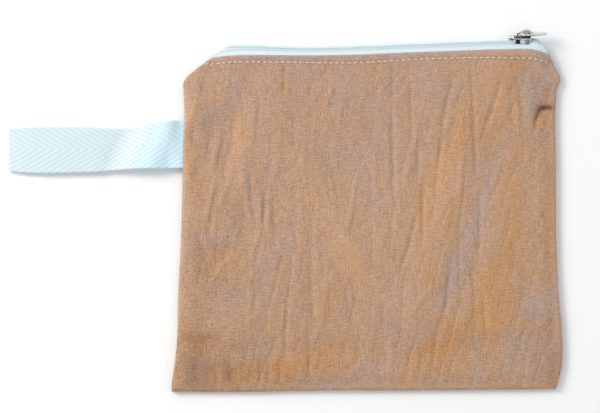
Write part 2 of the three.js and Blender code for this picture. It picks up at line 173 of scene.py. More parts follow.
def curves(rows):
    """A smooth curve for each column of a table after the first, which says where its values are."""
    at, *columns = rows.values()
    return [smooth(at, column) for column in columns]


def ease(x, start, end):
    """0 before start, 1 after end, and a smooth S between them."""
    t = np.clip((x - start) / (end - start), 0, 1)
    return t * t * (3 - 2 * t)


def bump(x, half):
    """1 at zero, falling away as a bell of the given half width."""
    return np.exp(-(x / half) ** 2)


def quarter_round(distance, reach, least=0.0):
    """A quarter of a circle from 0 at an edge to 1 at the given reach; its square is never below least."""
    t = 1 - np.clip(distance / reach, 0, 1)
    return np.sqrt(np.clip(1 - t ** 2, least, 1))


print("S curve at a quarter, half and three quarters:", ease(np.array([0.25, 0.5, 0.75]), 0, 1))

# %% [markdown]
# Every piece below is a surface on a grid, or rings of points carried along a path. For grids, one helper
# joins their points with faces, and one closes two of them into a wall of cloth. They work on whole
# arrays, because a loop over a hundred thousand points would be slow.

# %% Grids
def pack(*numbers):
    """Arrays side by side along a new last axis, such as x, y and z of points."""
    return np.stack(np.broadcast_arrays(*numbers), axis=-1)


def unit(vectors):
    """The same directions with length one."""
    return vectors / np.linalg.norm(vectors, axis=-1, keepdims=True)


def grid_faces(rows, columns, first=0, around=False):
    """Four-sided faces of a grid of points numbered row by row; around joins the last column to the
    first."""
    r, c = np.meshgrid(np.arange(rows - 1), np.arange(columns - (not around)), indexing="ij")
    a, b = r * columns + c, r * columns + (c + 1) % columns
    return pack(a, b, b + columns, a + columns).reshape(-1, 4) + first


def rim_of(grid):
    """Numbers of the points around a grid's edge, in order."""
    number = np.arange(grid[..., 0].size).reshape(grid.shape[:2])
    return np.concatenate([number[0], number[1:, -1], number[-1, -2::-1], number[-2:0:-1, 0]])


def wall(top, under):
    """A closed wall between two grids; the under one may have a whole fraction of the top one's steps."""
    step = (len(top) - 1) // (len(under) - 1)
    below = top[..., 0].size
    upper, lower = rim_of(top), rim_of(under) + below
    ahead = np.arange(len(lower))[:, None] * step + np.arange(step, -1, -1)
    sides = np.column_stack([lower, np.roll(lower, -1), upper[ahead % len(upper)]])
    faces = [grid_faces(*top.shape[:2]), grid_faces(*under.shape[:2], first=below)[:, ::-1], sides]
    return np.concatenate([top.reshape(-1, 3), under.reshape(-1, 3)]), faces


print("faces of a grid of 3 by 4 points:", len(grid_faces(3, 4)))

# %% [markdown]
# Wires, threads and bars are rings. One helper gives the points of a circle, another sets such a ring
# round each point of a path, and the last joins neighbouring rings and fills the ends. A curve with a
# bevel could make a wire too, but not one whose section changes along it as freely.

# %% Rings
def round_turn(count, power=1.0, first=0.0):
    """Cosines and sines of evenly spaced turns; a power below 1 draws the circle out to a square."""
    turn = (np.arange(count) + first) * 2 * np.pi / count
    return [np.sign(f) * np.abs(f) ** power for f in (np.cos(turn), np.sin(turn))]


def rings_round(path, one_way, other_way, turns):
    """A ring round each point of a path: cosines times one direction plus sines times the other."""
    c, s = turns
    return path[..., None, :] + c[:, None] * one_way[..., None, :] + s[:, None] * other_way[..., None, :]


def loft(rings):
    """Solids made of rings: neighbours are joined and the end rings filled. The axes of the array are
    solid, ring, point and xyz."""
    solids, count, sides = rings.shape[:3]
    j = np.arange(sides // 2 - 1)
    cap = pack(j, j + 1, sides - 2 - j, sides - 1 - j)
    one = np.concatenate([grid_faces(count, sides, around=True), cap[:, ::-1], cap + (count - 1) * sides])
    first = np.arange(solids) * count * sides
    return rings.reshape(-1, 3), [(one[None] + first[:, None, None]).reshape(-1, 4)]


print("cosines of a ring of four:", round_turn(4, first=0.5)[0].round(2))

# %% [markdown]
# The next helper makes the mesh. Blender takes whole arrays of points and faces at once, which is much
# quicker than adding them one by one. A finish may need more than the place of a point, so a pair of flat
# coordinates and any other numbers can be stored with the points.

# %% A piece from points and faces
def add_piece(name, points, faces, finish, uv=None, marks=None):
    """A smooth mesh from points in millimetres and arrays of faces; uv holds a pair per point, and marks
    hold named numbers per point."""
    corners = np.concatenate([block.ravel() for block in faces]).astype(np.int32)
    sizes = np.concatenate([np.full(len(block), block.shape[1]) for block in faces])
    starts = np.concatenate([[0], np.cumsum(sizes)[:-1]]).astype(np.int32)
    mesh = bpy.data.meshes.new(name)
    mesh.vertices.add(len(points))
    mesh.vertices.foreach_set("co", (np.asarray(points) * MM).astype(np.float32).ravel())
    mesh.loops.add(len(corners))
    mesh.loops.foreach_set("vertex_index", corners)
    mesh.polygons.add(len(sizes))
    mesh.polygons.foreach_set("loop_start", starts)
    if uv is not None:
        layer = mesh.uv_layers.new(name="cut")
        layer.data.foreach_set("uv", np.asarray(uv, np.float32)[corners].ravel())
    for label, values in (marks or {}).items():
        mark = mesh.attributes.new(label, "FLOAT", "POINT")
        mark.data.foreach_set("value", np.asarray(values, np.float32).ravel())
    mesh.polygons.foreach_set("use_smooth", np.ones(len(sizes), bool))
    mesh.update(calc_edges=True)
    mesh.validate()
    mesh.materials.append(finish)
    piece = bpy.data.objects.new(name, mesh)
    scene.collection.objects.link(piece)
    print(f"{name}: {len(mesh.vertices)} points, {len(mesh.polygons)} faces")
    return piece


print("pieces get their points in millimetres; one is", MM, "m")

# %% [markdown]
# Finishes are made of nodes for noise, stripes and colours. One small class holds a material, and one
# method of it makes any node from its type, its settings and what goes into its sockets. The others are
# the few nodes that are needed again and again.

# %% Nodes of a finish
class Finish:
    """A material whose nodes are made by expressions."""

    def __init__(self, name):
        """A new material; its surface shader is what the finish feeds."""
        self.material = bpy.data.materials.new(name)
        self.material.use_nodes = True
        self.tree = self.material.node_tree
        self.surface = self.tree.nodes["Principled BSDF"]

    def node(self, kind, settings=None, inputs=None, out=0):
        """Any node: settings are set first, then each socket gets its value or link; returns one
        output."""
        node = self.tree.nodes.new("ShaderNode" + kind)
        for name, value in (settings or {}).items():
            setattr(node, name, value)
        for socket, value in (inputs or {}).items():
            self.feed(node.inputs[socket], value)
        return Sum(self, node.outputs[out])

    def feed(self, socket, value):
        """A link where the value is a sum, else the socket's own value."""
        if isinstance(value, Sum):
            self.tree.links.new(value.socket, socket)
        else:
            socket.default_value = value

    def set(self, **sockets):
        """Feeds the surface shader's sockets; underscores stand for spaces."""
        for name, value in sockets.items():
            self.feed(self.surface.inputs[name.replace("_", " ")], value)

    def mix(self, share, first, second):
        """A colour between two, by share."""
        return self.node("Mix", {"data_type": "RGBA"}, {0: share, 6: first, 7: second}, out=2)

    def noise(self, vector, scale, detail=2.0, rough=0.5):
        """Soft random patches between 0 and 1; scale is how many fit into one unit of the coordinates."""
        inputs = {"Vector": vector, "Scale": scale, "Detail": detail, "Roughness": rough}
        return self.node("TexNoise", {}, inputs)

    def stretch(self, vector, factors):
        """The coordinates multiplied axis by axis, so that a pattern is longer one way than the other."""
        return self.node("VectorMath", {"operation": "MULTIPLY"}, {0: vector, 1: factors})

    def bump(self, height, distance, strength=1.0):
        """Normals of a surface raised by height times distance, in metres."""
        return self.node("Bump", {}, {"Height": height, "Distance": distance, "Strength": strength})

    def mark(self, name):
        """The number of that name stored on the piece's points."""
        return self.node("Attribute", {"attribute_name": name}, out=2)

    def place(self):
        """Where on the piece a point is, in metres of the object's own frame."""
        return self.node("TexCoord", out=3)

    def cut_axes(self):
        """The piece's own flat coordinates, in millimetres: the pair as a vector, and its two numbers."""
        cut = self.node("UVMap", {"uv_map": "cut"})
        along = self.node("SeparateXYZ", {}, {0: cut})
        return cut, along, Sum(self, along.socket.node.outputs[1])


print("methods of a finish:", [name for name in vars(Finish) if not name.startswith("_")])

# %% [markdown]
# A sum of patterns takes many Math nodes, so a second class wraps a socket and lets Python's own signs
# make them: `mask * 0.5 + noise` adds two. The same could be drawn by hand in the node editor, but there
# the formula is hard to read.

# %% Shader sums
class Sum:
    """A shader socket that takes part in Python sums."""

    def __init__(self, finish, socket):
        """The socket, and the finish whose nodes it belongs to."""
        self.finish, self.socket = finish, socket

    def math(self, operation, *others):
        """A Math node that has this socket first."""
        return self.finish.node("Math", {"operation": operation}, dict(enumerate((self, *others))))

    def __add__(self, other):
        """This socket plus the other."""
        return self.math("ADD", other)

    def __sub__(self, other):
        """This socket less the other."""
        return self.math("SUBTRACT", other)

    def __rsub__(self, other):
        """The other less this socket: this one times -1, plus the other."""
        return self * -1 + other

    def __mul__(self, other):
        """This socket times the other."""
        return self.math("MULTIPLY", other)

    def wave(self, pitch):
        """A sine with the given pitch."""
        return (self * (2 * math.pi / pitch)).math("SINE")

    def abs(self):
        """The value without its sign."""
        return self.math("ABSOLUTE")

    def between(self, low, high):
        """0 below low and 1 above high, straight in between."""
        return self.finish.node("MapRange", {"clamp": True}, {0: self, 1: low, 2: high, 3: 0.0, 4: 1.0})

    __radd__, __rmul__ = __add__, __mul__


print("methods of a sum:", [name for name in vars(Sum) if not name.startswith("_")])

# %% [markdown]
# The cotton is a plain weave in a tan that leans to terracotta. Seen close it is grainy: thicker and
# thinner yarns make short level streaks, fainter upright ones come from the warp, and pale specks of
# undyed fibre show through. Its two yarns differ in colour, so broad patches of it look golden and others
# mauve. Painted light makes it paler in some places and painted shade darker in others, and a slow
# painted drift makes it paler to the right and darker away from the middle. Two numbers stored on each
# point of the cloth say how golden it is and how much painted light (above zero) and painted shade
# (below zero) it has, because a shader that reads the camera would slide in other views. Where the
# painted shade is deepest, in one deep hollow, it turns a painted shadow brown. The yarns are noise
# stretched along each thread, and they drive both colour and bump.

# %% Cotton finish
YARN_PITCH = (0.55, 0.50)
WEFT_STRETCH, WARP_STRETCH = (0.22, 1.3, 1.0), (1.5, 0.16, 1.0)
GRAIN_SCALE, CLOUD_SCALE, SPECK_SCALE, SPECK_FROM = 1.15, 0.05, 0.8, (0.70, 0.80)
WEFT_SHARE, WARP_SHARE, GRAIN_SHARE = 0.9, 0.7, 2.2
MEAN_LIGHT, CLOUD_SHARE, SPECK_SHARE = 0.52, 0.20, 0.25
CLOUD_TONE, GRAIN_TONE = 0.3, 0.1
YARN_RELIEF, THREAD_RELIEF, COTTON_DEPTH = 0.8, 0.16, 0.0002
GOLDEN_DARK, GOLDEN_LIGHT = (0.371, 0.170, 0.058, 1), (0.698, 0.400, 0.205, 1)
MAUVE_DARK, MAUVE_LIGHT = (0.322, 0.206, 0.153, 1), (0.624, 0.451, 0.366, 1)
# painted shadow: the brown of the deepest painted shade, and the span of painted shade it comes in over
SHADOW_BROWN, SHADOW_BROWN_RANGE = (0.14, 0.050, 0.022, 1), (0.4, 1.2)
# painted light that grows to the right, and painted shade that grows away from the middle
PALER_TO_RIGHT, DARKER_OUTWARD = 0.0006, 0.000004


def cotton_finish():
    """Yarns, clouds, specks, a painted drift of light and shade, and the painted light and shade stored on
    the points add up to how light the cloth is. That runs from dark to light in a mauve and in a golden
    tan, tone mixes the two, and painted shade far below zero turns a shadow brown."""
    cotton = Finish("tan_cotton")
    cut, along, across = cotton.cut_axes()
    weft = cotton.noise(cotton.stretch(cut, WEFT_STRETCH), 1.0, detail=3.0)
    warp = cotton.noise(cotton.stretch(cut, WARP_STRETCH), 1.0, detail=2.0)
    grain = cotton.noise(cut, GRAIN_SCALE, detail=3.0, rough=0.75)
    clouds = cotton.noise(cut, CLOUD_SCALE, detail=4.0)
    specks = cotton.noise(cut, SPECK_SCALE, detail=1.0).between(*SPECK_FROM)
    yarns = (weft - 0.5) * WEFT_SHARE + (warp - 0.5) * WARP_SHARE + (grain - 0.5) * GRAIN_SHARE
    # painted light paler to the right, painted shade darker away from the middle
    wear_and_painted_light = along * PALER_TO_RIGHT - (along * along + across * across) * DARKER_OUTWARD
    # the second number is painted light above zero and painted shade below
    tone, fade = cotton.mark("tone"), cotton.mark("fade")
    light = yarns + MEAN_LIGHT + (clouds - 0.5) * CLOUD_SHARE + specks * SPECK_SHARE + wear_and_painted_light + fade
    light = light.between(0.0, 1.0)
    golden = (tone + (clouds - 0.5) * CLOUD_TONE + (grain - 0.5) * GRAIN_TONE).between(0.0, 1.0)
    mauve_tan = cotton.mix(light, MAUVE_DARK, MAUVE_LIGHT)
    golden_tan = cotton.mix(light, GOLDEN_DARK, GOLDEN_LIGHT)
    colour = cotton.mix(golden, mauve_tan, golden_tan)
    # painted shadow: where the painted shade is deepest the cloth turns brown
    colour = cotton.mix((fade * -1).between(*SHADOW_BROWN_RANGE), colour, SHADOW_BROWN)
    threads = along.wave(YARN_PITCH[0]) * across.wave(YARN_PITCH[1])
    relief = yarns * YARN_RELIEF + threads * THREAD_RELIEF
    cotton.set(Base_Color=colour, Roughness=0.93, Specular_IOR_Level=0.18, Sheen_Weight=0.12,
               Sheen_Roughness=0.5, Normal=cotton.bump(relief, COTTON_DEPTH, strength=0.6))
    return cotton.material


COTTON = cotton_finish()
print("finish:", COTTON.name)

# %% [markdown]
# The bag's outline is read from the photo: two side seams, slanted at the top corners, the bottom seam
# and the line of the zip. The zip's table also gives the folded edge of the front cloth beside it.

# %% Outline of the bag
SIDE_SEAMS = table(
    "up left right",
    (0, -110.6, 105.8), (6, -110.3, 107.6), (14, -109.0, 109.2), (32, -107.3, 109.2), (53, -106.9, 107.4),
    (85, -105.3, 106.1), (130, -104.2, 105.8), (163, -103.4, 105.8), (171, -103.8, 106.6),
    (175.5, -103.9, 108.4), (177.5, -103.1, 108.0), (179, -101.8, 107.3), (182, -98.4, 105.8),
    (190, -88.0, 101.9))
BOTTOM_SEAM = table(
    "x y",
    (-111, -97.7), (-66, -97.8), (-30, -97.1), (10, -97.0), (60, -96.7), (110, -96.2))
ZIP_LINE = table(
    "x y z fold rise",
    (-88.5, 89.8, 2.4, 90.0, 0.3), (-84, 94.0, 3.2, 90.4, 0.9), (-80, 95.9, 4.0, 90.8, 1.7),
    (-75, 96.6, 4.8, 91.1, 2.5), (-66, 96.6, 5.8, 91.2, 3.5), (-54, 96.0, 6.4, 91.1, 4.1),
    (-38, 95.5, 6.5, 91.0, 4.3), (-10, 96.0, 6.5, 91.3, 4.3), (18, 97.2, 6.5, 92.4, 4.3),
    (46, 98.3, 6.5, 93.4, 4.3), (74, 99.3, 6.5, 94.4, 4.2), (86, 99.7, 6.5, 94.6, 3.9),
    (92, 99.8, 6.4, 94.4, 3.4), (96, 99.0, 5.8, 93.5, 2.7), (99.5, 96.0, 4.2, 92.5, 1.6),
    (102.5, 91.8, 2.4, 91.8, 0.3))
CLOTH_HEIGHT = 190.0

left_seam, right_seam = curves(SIDE_SEAMS)
bottom_seam, = curves(BOTTOM_SEAM)
zip_y, zip_z, fold_y, fold_rise = curves(ZIP_LINE)
half_up = CLOTH_HEIGHT / 2
print("width half way up, mm:", round(float(right_seam(half_up) - left_seam(half_up)), 1))

# %% [markdown]
# The zip stands on its edge and leans back, so its own cross-section is set out along two directions:
# across the zip towards the back, and out of its face. Near its ends it is squeezed into the side seams.

# %% Frame of the zip
CLOTH = 1.2  # how thick the cloth is
GAP = 0.3  # air between two layers
RIM_TOP = 2 * CLOTH + GAP
ZIP_TILT = math.radians(20)
ZIP_ENDS = (-87.6, 101.6)
ZIP_PINCH, PINCH_LEFT, PINCH_RIGHT = 0.15, 12.0, 10.0
TAPE_THICK, TAPE_DEPTH, TAPE_END_DEPTH = 0.8, -1.25, -0.55
EDGE_COVER = 0.15
ACROSS = np.array([0, math.sin(ZIP_TILT), -math.cos(ZIP_TILT)])
OUT = np.array([0, math.cos(ZIP_TILT), math.sin(ZIP_TILT)])


def zip_point(x, across, out):
    """Points of the zip: the line of the teeth, moved across it and out of its face."""
    line = pack(x, zip_y(x), zip_z(x))
    return line + np.asarray(across)[..., None] * ACROSS + np.asarray(out)[..., None] * OUT


def zip_fullness(x):
    """1 along the zip, less over the last stretch where its ends are squeezed into the side seams."""
    whole = ease(x - ZIP_ENDS[0], 0, PINCH_LEFT) * ease(ZIP_ENDS[1] - x, 0, PINCH_RIGHT)
    return ZIP_PINCH + (1 - ZIP_PINCH) * whole


def tape_depth(x):
    """How deep the tapes lie behind the teeth."""
    return TAPE_END_DEPTH + (TAPE_DEPTH - TAPE_END_DEPTH) * zip_fullness(x)


def fold_edge(x):
    """The front cloth's folded edge beside the zip: its y, and the height of its upper face."""
    x = np.clip(x, *ZIP_ENDS)
    return fold_y(x) + EDGE_COVER, zip_z(x) + fold_rise(x) + TAPE_THICK / 2 + GAP + CLOTH


print("folded edge at mid zip, mm:", [round(float(v), 2) for v in fold_edge(0.0)])

# %% [markdown]
# The front cloth is slack and creased. Two tables hold its broad folds and its creases, one row each: the
# two ends of a line, half its width and its height, which is below zero for a valley. A simulated cloth
# would crease in other places than the real one, so lines measured on the photo keep the folds where they
# are.

# %% Folds of the front cloth
BROAD_FOLDS = table(
    "x0 y0 x1 y1 half height",
    (58, 50, 28, -54, 8, 1.5), (73, 36, 48, -58, 6, -0.4), (84, 34, 73, -48, 8, 0.3),
    (62, -32, 63, -66, 4, -0.6), (-66, 52, -72, 14, 6, 0.8), (-80, 50, -91, -6, 5, -0.5),
    (-94, -34, -72, -11, 6, -0.8), (-32, 30, 6, -48, 8, 0.9), (-92, -76, -10, -74, 6, -0.7),
    (20, -76, 96, -70, 6, -0.6), (104, 62, 96, 61, 4, -0.4), (88, 78, 96, 74, 8, 0.4),
    (-93, -72, -92, -94, 7, -0.8), (-74.5, -85, -75, -95, 2.5, -0.9))
CREASES = table(
    "x0 y0 x1 y1 half height",
    (-82, 53, -87, 27, 2.6, 0.7), (-74.5, 56, -77, 38, 1.9, -0.7), (-77, 38, -81, 22.5, 1.8, -0.55),
    (-71.5, 59.5, -71, 24.5, 2.6, 0.7), (-66.5, 28, -64.5, 2, 1.9, -0.5),
    (-60.5, 12.5, -61, -4.5, 1.6, 0.45), (-58, 11, -58.5, -3.5, 1.3, -0.8),
    (-55, 12.5, -56, -8, 1.6, 0.55), (-54, 46, -55, 28, 1.7, -0.55), (-49, 50.5, -51, 26, 1.9, 0.35),
    (-90, 26, -91, 15.5, 1.9, 0.45), (-87, 18, -91.5, -4.5, 1.7, 0.55),
    (-85, 15.5, -89, -6.5, 1.7, -0.55), (-76.5, 23.5, -83.5, 6.5, 1.4, 0.45),
    (-69.5, 20, -65, -3.5, 1.4, 0.4), (-73, -6.5, -77.5, -21.5, 1.4, 0.4),
    (-78.5, -22.5, -90, -39.5, 1.3, 0.45), (-61, -9, -65, -20, 1.6, 0.55),
    (-65, -22.5, -66.5, -58.5, 1.6, 0.45), (-54, 6.5, -51, -10, 1.4, -0.4),
    (-52, -10, -46, -22.5, 1.2, 0.4), (-45.5, -46, -46.5, -77.5, 1.4, -0.75),
    (-43.5, 2, -39.5, -14.5, 1.4, -0.45), (-36, 44, -36.5, 19, 2.2, 0.25),
    (-30, 50.5, -31, 28, 1.6, 0.25), (-28.5, 17, -28.5, 6.5, 1.2, 0.35),
    (-31.5, 1, -32, -24.5, 1.7, -0.4), (-32, -24.5, -30.5, -58.5, 1.7, -0.6),
    (-28, -4.5, -28, -30.5, 1.4, 0.25), (-38, -18, -39.5, -53, 1.9, 0.35),
    (-22.5, -35, -24, -53, 1.8, 0.45), (-24.5, -53, -31, -72, 1.7, 0.35),
    (-6.5, 22.5, -10, -2, 1.4, 0.55), (-20, -24.5, -12.5, -39.5, 1.4, -0.4),
    (-12.5, -39.5, -9.5, -56, 1.4, -0.45), (-77, 82, -76.5, 67.5, 1.4, -0.35),
    (-47, 87.5, -47, 71, 1.2, -0.4), (-41.5, 58.5, -41.5, 40.5, 1.4, -0.4),
    (-19.5, 73, -23.5, 63, 1.4, 0.35), (-15, 63, -15.5, 54, 1.2, 0.35),
    (-62.5, 71, -66.5, 41.5, 1.9, 0.15), (-96.5, 53, -98, 44, 2.9, -0.8), (-96, 28, -97, 20, 2.4, -0.7),
    (-97, 64, -99.5, 56, 1.9, 0.7), (-91, 46, -91.5, 35, 1.7, 0.45),
    (-102, -67.5, -85.5, -68.5, 2.6, -0.8), (-96, -83, -96, -90, 2.4, -0.7),
    (-67.5, -74, -68.5, -81, 1.4, -0.55), (-60.5, -81, -60.5, -91, 1.4, -0.55),
    (-55.5, -82, -56, -91, 1.4, -0.45), (-49, -80, -49.5, -91, 1.4, -0.55),
    (-32.5, -80, -33, -90, 1.7, -0.6), (-77.5, -84.5, -77, -91.5, 1.4, -0.55),
    (-85, -85.5, -85, -92, 1.4, -0.55), (14, 85.5, 13.5, 56, 1.4, -0.45),
    (13.5, 56, 14.5, 15.5, 1.4, -0.75), (23.5, 82, 24.5, 42.5, 1.3, -0.4),
    (28.5, 41.5, 28, 21.5, 1.3, -0.55), (31, 19, 30.5, -12.5, 1.4, -0.75),
    (27.5, 50.5, 24, 30.5, 1.7, 0.35), (23, 29, 18.5, 14.5, 1.7, 0.35), (47, 77.5, 42.5, 56, 1.4, -0.6),
    (42.5, 56, 40.5, 38, 1.3, -0.45), (40.5, 38, 38, 15.5, 1.6, -0.6), (52, 75.5, 47, 62, 1.4, 0.35),
    (53, 60.5, 52, 44, 1.8, 0.45), (57.5, 87.5, 59, 62, 1.4, -0.55), (59, 62, 60.5, 28, 1.4, -0.75),
    (53.5, 40.5, 51.5, 9, 1.3, 0.35), (74, 74, 66.5, 51.5, 1.6, -0.75),
    (80.5, 66.5, 81.5, 55, 1.9, -0.55), (83, 64, 85, 50.5, 1.9, 0.4), (104, 61.5, 97, 62, 1.6, -1.0),
    (96.5, 61.5, 94.5, 55, 1.4, -0.7), (94.5, 55, 94, 50.5, 1.3, -0.4), (91, 73, 91.5, 55, 4.0, 0.9),
    (73, 20, 70, 12.5, 1.3, -0.45), (63, 11, 62.5, -22.5, 1.4, -0.7), (53.5, 11, 51, -5.5, 1.2, -0.35),
    (51.5, -5.5, 51.5, -46, 1.2, -0.35), (80, 1, 78.5, -8, 1.3, -0.4), (82, -22.5, 81.5, -32, 1.3, -0.4),
    (27.5, 2, 24, -12.5, 1.3, -0.75), (24, -12.5, 19, -28, 1.3, -0.75), (3.5, 0, 6.5, -11, 1.2, 0.35),
    (6.5, -11, 14.5, -26, 1.2, 0.35), (45.5, -30.5, 44, -48.5, 1.4, -0.7),
    (44, -48.5, 39, -64, 1.4, -0.6), (39, -64, 36, -87.5, 1.7, -0.55), (33.5, -41.5, 24.5, -54, 1.3, 0.4),
    (58.5, -30.5, 60.5, -46, 1.3, -0.45), (60, -53, 60, -69.5, 1.6, -0.45),
    (65, -45, 66.5, -67.5, 1.6, -0.7), (24, -77.5, 23, -89, 1.4, -0.55))

print("folds:", len(BROAD_FOLDS["x0"]), "creases:", len(CREASES["x0"]))

# %% [markdown]
# Two more tables of the same kind hold colours: the patches that look more golden (above zero) or more
# mauve, and the patches of painted light (above zero) and painted shade, which make the cloth paler and
# darker. An image would carry more detail, but a painted patch is a soft band with a ragged edge, and a
# line with a width is enough for it.

# %% Colour patches of the front cloth
TONE_BANDS = table(
    "x0 y0 x1 y1 half height",
    (54, 63, 45, 37, 6, 0.2), (47, 44, 29, -2, 10, 0.3), (34, 1.5, 35.5, -54, 6, 0.25),
    (74, 87.5, 75.5, 49.5, 14, 0.3), (67, 50, 82, 53, 7, 0.28), (83, 48.5, 81, -1, 9, 0.35),
    (82, -2, 74, -24.5, 8, 0.2), (76, -24.5, 69.5, -66.5, 12, 0.5), (59.5, -63, 31.5, -81, 11, 0.42),
    (31.5, -81, 21, -89, 7, 0.25), (-9, -74, -73, -90, 7, 0.45), (-19.5, -35, -28.5, -66.5, 6, 0.25),
    (-71, 56, -73, 34, 6, 0.3), (-90, -28.5, -76, -21.5, 6, 0.3), (-59.5, -11, -48.5, 8, 6, 0.15),
    (-104, -69, -94, -70.5, 5, 0.3), (81, -27, 101, -28, 6, 0.2), (100.5, 3.5, 99.5, -21.5, 5, 0.2),
    (-100, 46, -100, 15.5, 5, 0.2), (-30.5, 6.5, -5.5, -32.5, 6, 0.2), (78.5, 45, 62, 10, 6, -0.42),
    (64, 10, 56, -15.5, 5, -0.4), (53, -15.5, 36, -58.5, 5.5, -0.4), (92, 72, 91, 57, 5.5, -0.6),
    (81, -50.5, 103.5, -48.5, 4.5, -0.35), (77.5, -75.5, 103.5, -69.5, 7, -0.35),
    (85.5, -86.5, 94, -83.5, 6, -0.22), (-96.5, 51.5, -75.5, 71, 5.5, -0.45),
    (-96.5, -15.5, -72, 1, 6, -0.35), (-62, -20, -57.5, -45, 6, -0.2), (-96.5, -46, -76.5, -44, 8, -0.15),
    (-10, -91, 15.5, -83, 5, -0.3), (60.5, -67.5, 59.5, -93.5, 2.5, -0.25),
    (-44, 75.5, 46, 77.5, 14, -0.12), (102.5, 30, 103.5, -28, 4, 0.35), (-2, 10, 20, 11, 6, -0.1),
    (98.5, 59, 98, 50.5, 3.5, 0.5), (-96.5, -76.5, -96, -92, 5, -0.12), (-22, 36, 14, 36, 20, -0.12),
    (83, 85.5, 92, 84.5, 4.5, 0.35), (99, 72, 100, 67, 2.5, 0.3), (101, 82, 102, 76, 3.5, -0.3),
    (88, -60, 104, -57.5, 3.5, 0.35), (-99, 62, -97, 53, 3.5, 0.25), (-98, 26, -95, 16, 4, 0.25),
    (83, 80, 82, 66, 3.5, 0.3), (70, -77, 84, -86, 7, -0.18), (65, 47, 72, 34, 6, 0.18),
    (52, 22, 44, -16, 4.5, 0.3), (-42, -10, -42, -28, 5, -0.3), (-66, -93, -50, -94, 4, 0.3),
    (-32, -59, -42, -72, 5, 0.25), (99, -78, 101, -90, 4, 0.15), (-67, 28, -66, 6, 4, -0.27),
    (37, 11, 37, -2, 3.5, -0.22), (-58, 44, -58, 30, 4, -0.2))
# painted light where the height is above zero, painted shade where it is below
PAINTED_LIGHT_BANDS = table(
    "x0 y0 x1 y1 half height",
    (-82, 59.5, -66.5, 82, 7, -0.12), (-103.5, 68.5, -104, 7.5, 3, 0.3), (-105, 2, -106, -66, 2.5, 0.25),
    (-99, -13.5, -93.5, -26, 7, -0.2), (-91.5, -41.5, -66.5, -39.5, 12, -0.1),
    (-86, -86.5, -48, -85, 8, -0.15), (-101, -74, -93.5, -93.5, 8, -0.28),
    (-79, -85.5, -76, -94, 3, -0.28), (-102, -67, -86.5, -69.5, 3.5, -0.25),
    (-21.5, -2, -4.5, -30.5, 6, 0.13), (57.5, -15, 43.5, -49, 7, -0.1),
    (100.5, -57.5, 101, -88, 6, -0.15), (74, 80.5, 73, 52, 9, 0.15), (91, 91, 103.5, 84.5, 8, 0.3),
    (104, 61.5, 100, 62.5, 1.2, -0.75), (100, 62.5, 96.5, 61.5, 1.3, -0.9),
    (96.5, 61, 95.5, 58.5, 1.2, -0.65), (95.5, 58.5, 94.5, 54.5, 1, -0.4),
    (94.5, 54.5, 94, 50.5, 0.9, -0.25), (105, 75, 107, -70, 3, 0.2), (-100, -95.5, 100, -94, 2.5, 0.12),
    (44, -74, 100, -74, 8, -0.08), (-96, 49, -79, 64, 5, -0.13), (-63, 27, -60, 10, 4, -0.12),
    (-80, 12, -72, -9, 5.5, -0.15), (-90, -9, -80, -18, 6, -0.12), (-72, 54, -73.5, 26, 4, 0.1),
    (-89, 28, -90, 13, 4, 0.18), (-66, 50, -66, 34, 4, 0.14), (-97, 63, -97, 50, 4, 0.12),
    (-98, -3, -98, -10, 4, 0.12), (52, 22, 49, 2, 4.5, 0.12), (37, 28, 37, 12, 4, 0.1),
    (-89, -76, -88, -88, 5, -0.1))

print("tone bands:", len(TONE_BANDS["x0"]), "faded bands:", len(PAINTED_LIGHT_BANDS["x0"]))

# %% [markdown]
# A fold is a soft ridge along a line. One function adds up the rows of a table, and it serves the folds,
# the creases and the colour patches alike.

# %% Relief from a table
END_SHARE, END_EASE = 0.55, (-0.1, 0.35)  # a fold's height at its ends, and where it rises to the full one
END_REACH = 2.2  # how many half widths it fades out over


def fold_relief(folds, x, y):
    """Sum of the folds' heights: each is a bell across its line, lower at its ends and fading out past
    them."""
    relief = np.zeros_like(x)
    for x0, y0, x1, y1, half, height in zip(*folds.values()):
        run = np.hypot(x1 - x0, y1 - y0)
        along = ((x - x0) * (x1 - x0) + (y - y0) * (y1 - y0)) / run ** 2
        side = ((x - x0) * (y1 - y0) - (y - y0) * (x1 - x0)) / run
        off_middle = np.abs(along - 0.5)
        past = (off_middle - 0.5).clip(0) * run
        share = END_SHARE + (1 - END_SHARE) * ease(0.5 - off_middle, *END_EASE)
        relief += height * share * bump(side, half) * bump(past, END_REACH * half)
    return relief


broad_middle = fold_relief(BROAD_FOLDS, np.array(0.0), np.array(0.0))
print("broad folds at the middle, mm:", round(float(broad_middle), 2))

# %% [markdown]
# Between the folds, soft random crumpling breaks up what is left flat. It is made as clouds are: random
# numbers from a fixed seed, blurred until only waves longer than a chosen length are left. The fine
# wrinkles are sums of such clouds. A sharp crease is the line where a cloud changes sign, which gives the
# crossing, branching lines of crushed cotton.

# %% Crumpling
NOISE_GRID = 256


def crumple(x, y, wave_x, wave_y, seed):
    """Smooth random relief, about -1 to 1: random numbers on a wrapped square, blurred so that waves
    shorter than those named are gone, and read between the square's points, which are a millimetre
    apart."""
    spots = np.random.default_rng(seed).standard_normal((NOISE_GRID, NOISE_GRID))
    fx, fy = np.meshgrid(np.fft.fftfreq(NOISE_GRID), np.fft.fftfreq(NOISE_GRID))
    soft = np.fft.ifft2(np.fft.fft2(spots) * np.exp(-(fx * wave_x) ** 2 - (fy * wave_y) ** 2)).real
    soft /= soft.std() * 2
    i, j = np.floor(y).astype(int), np.floor(x).astype(int)
    v, u = y - i, x - j

    def spot(down, over):
        """The relief at one of the four square points round each place."""
        return soft[(i + down) % NOISE_GRID, (j + over) % NOISE_GRID]

    near, far = spot(0, 0) * (1 - u) + spot(0, 1) * u, spot(1, 0) * (1 - u) + spot(1, 1) * u
    return near * (1 - v) + far * v


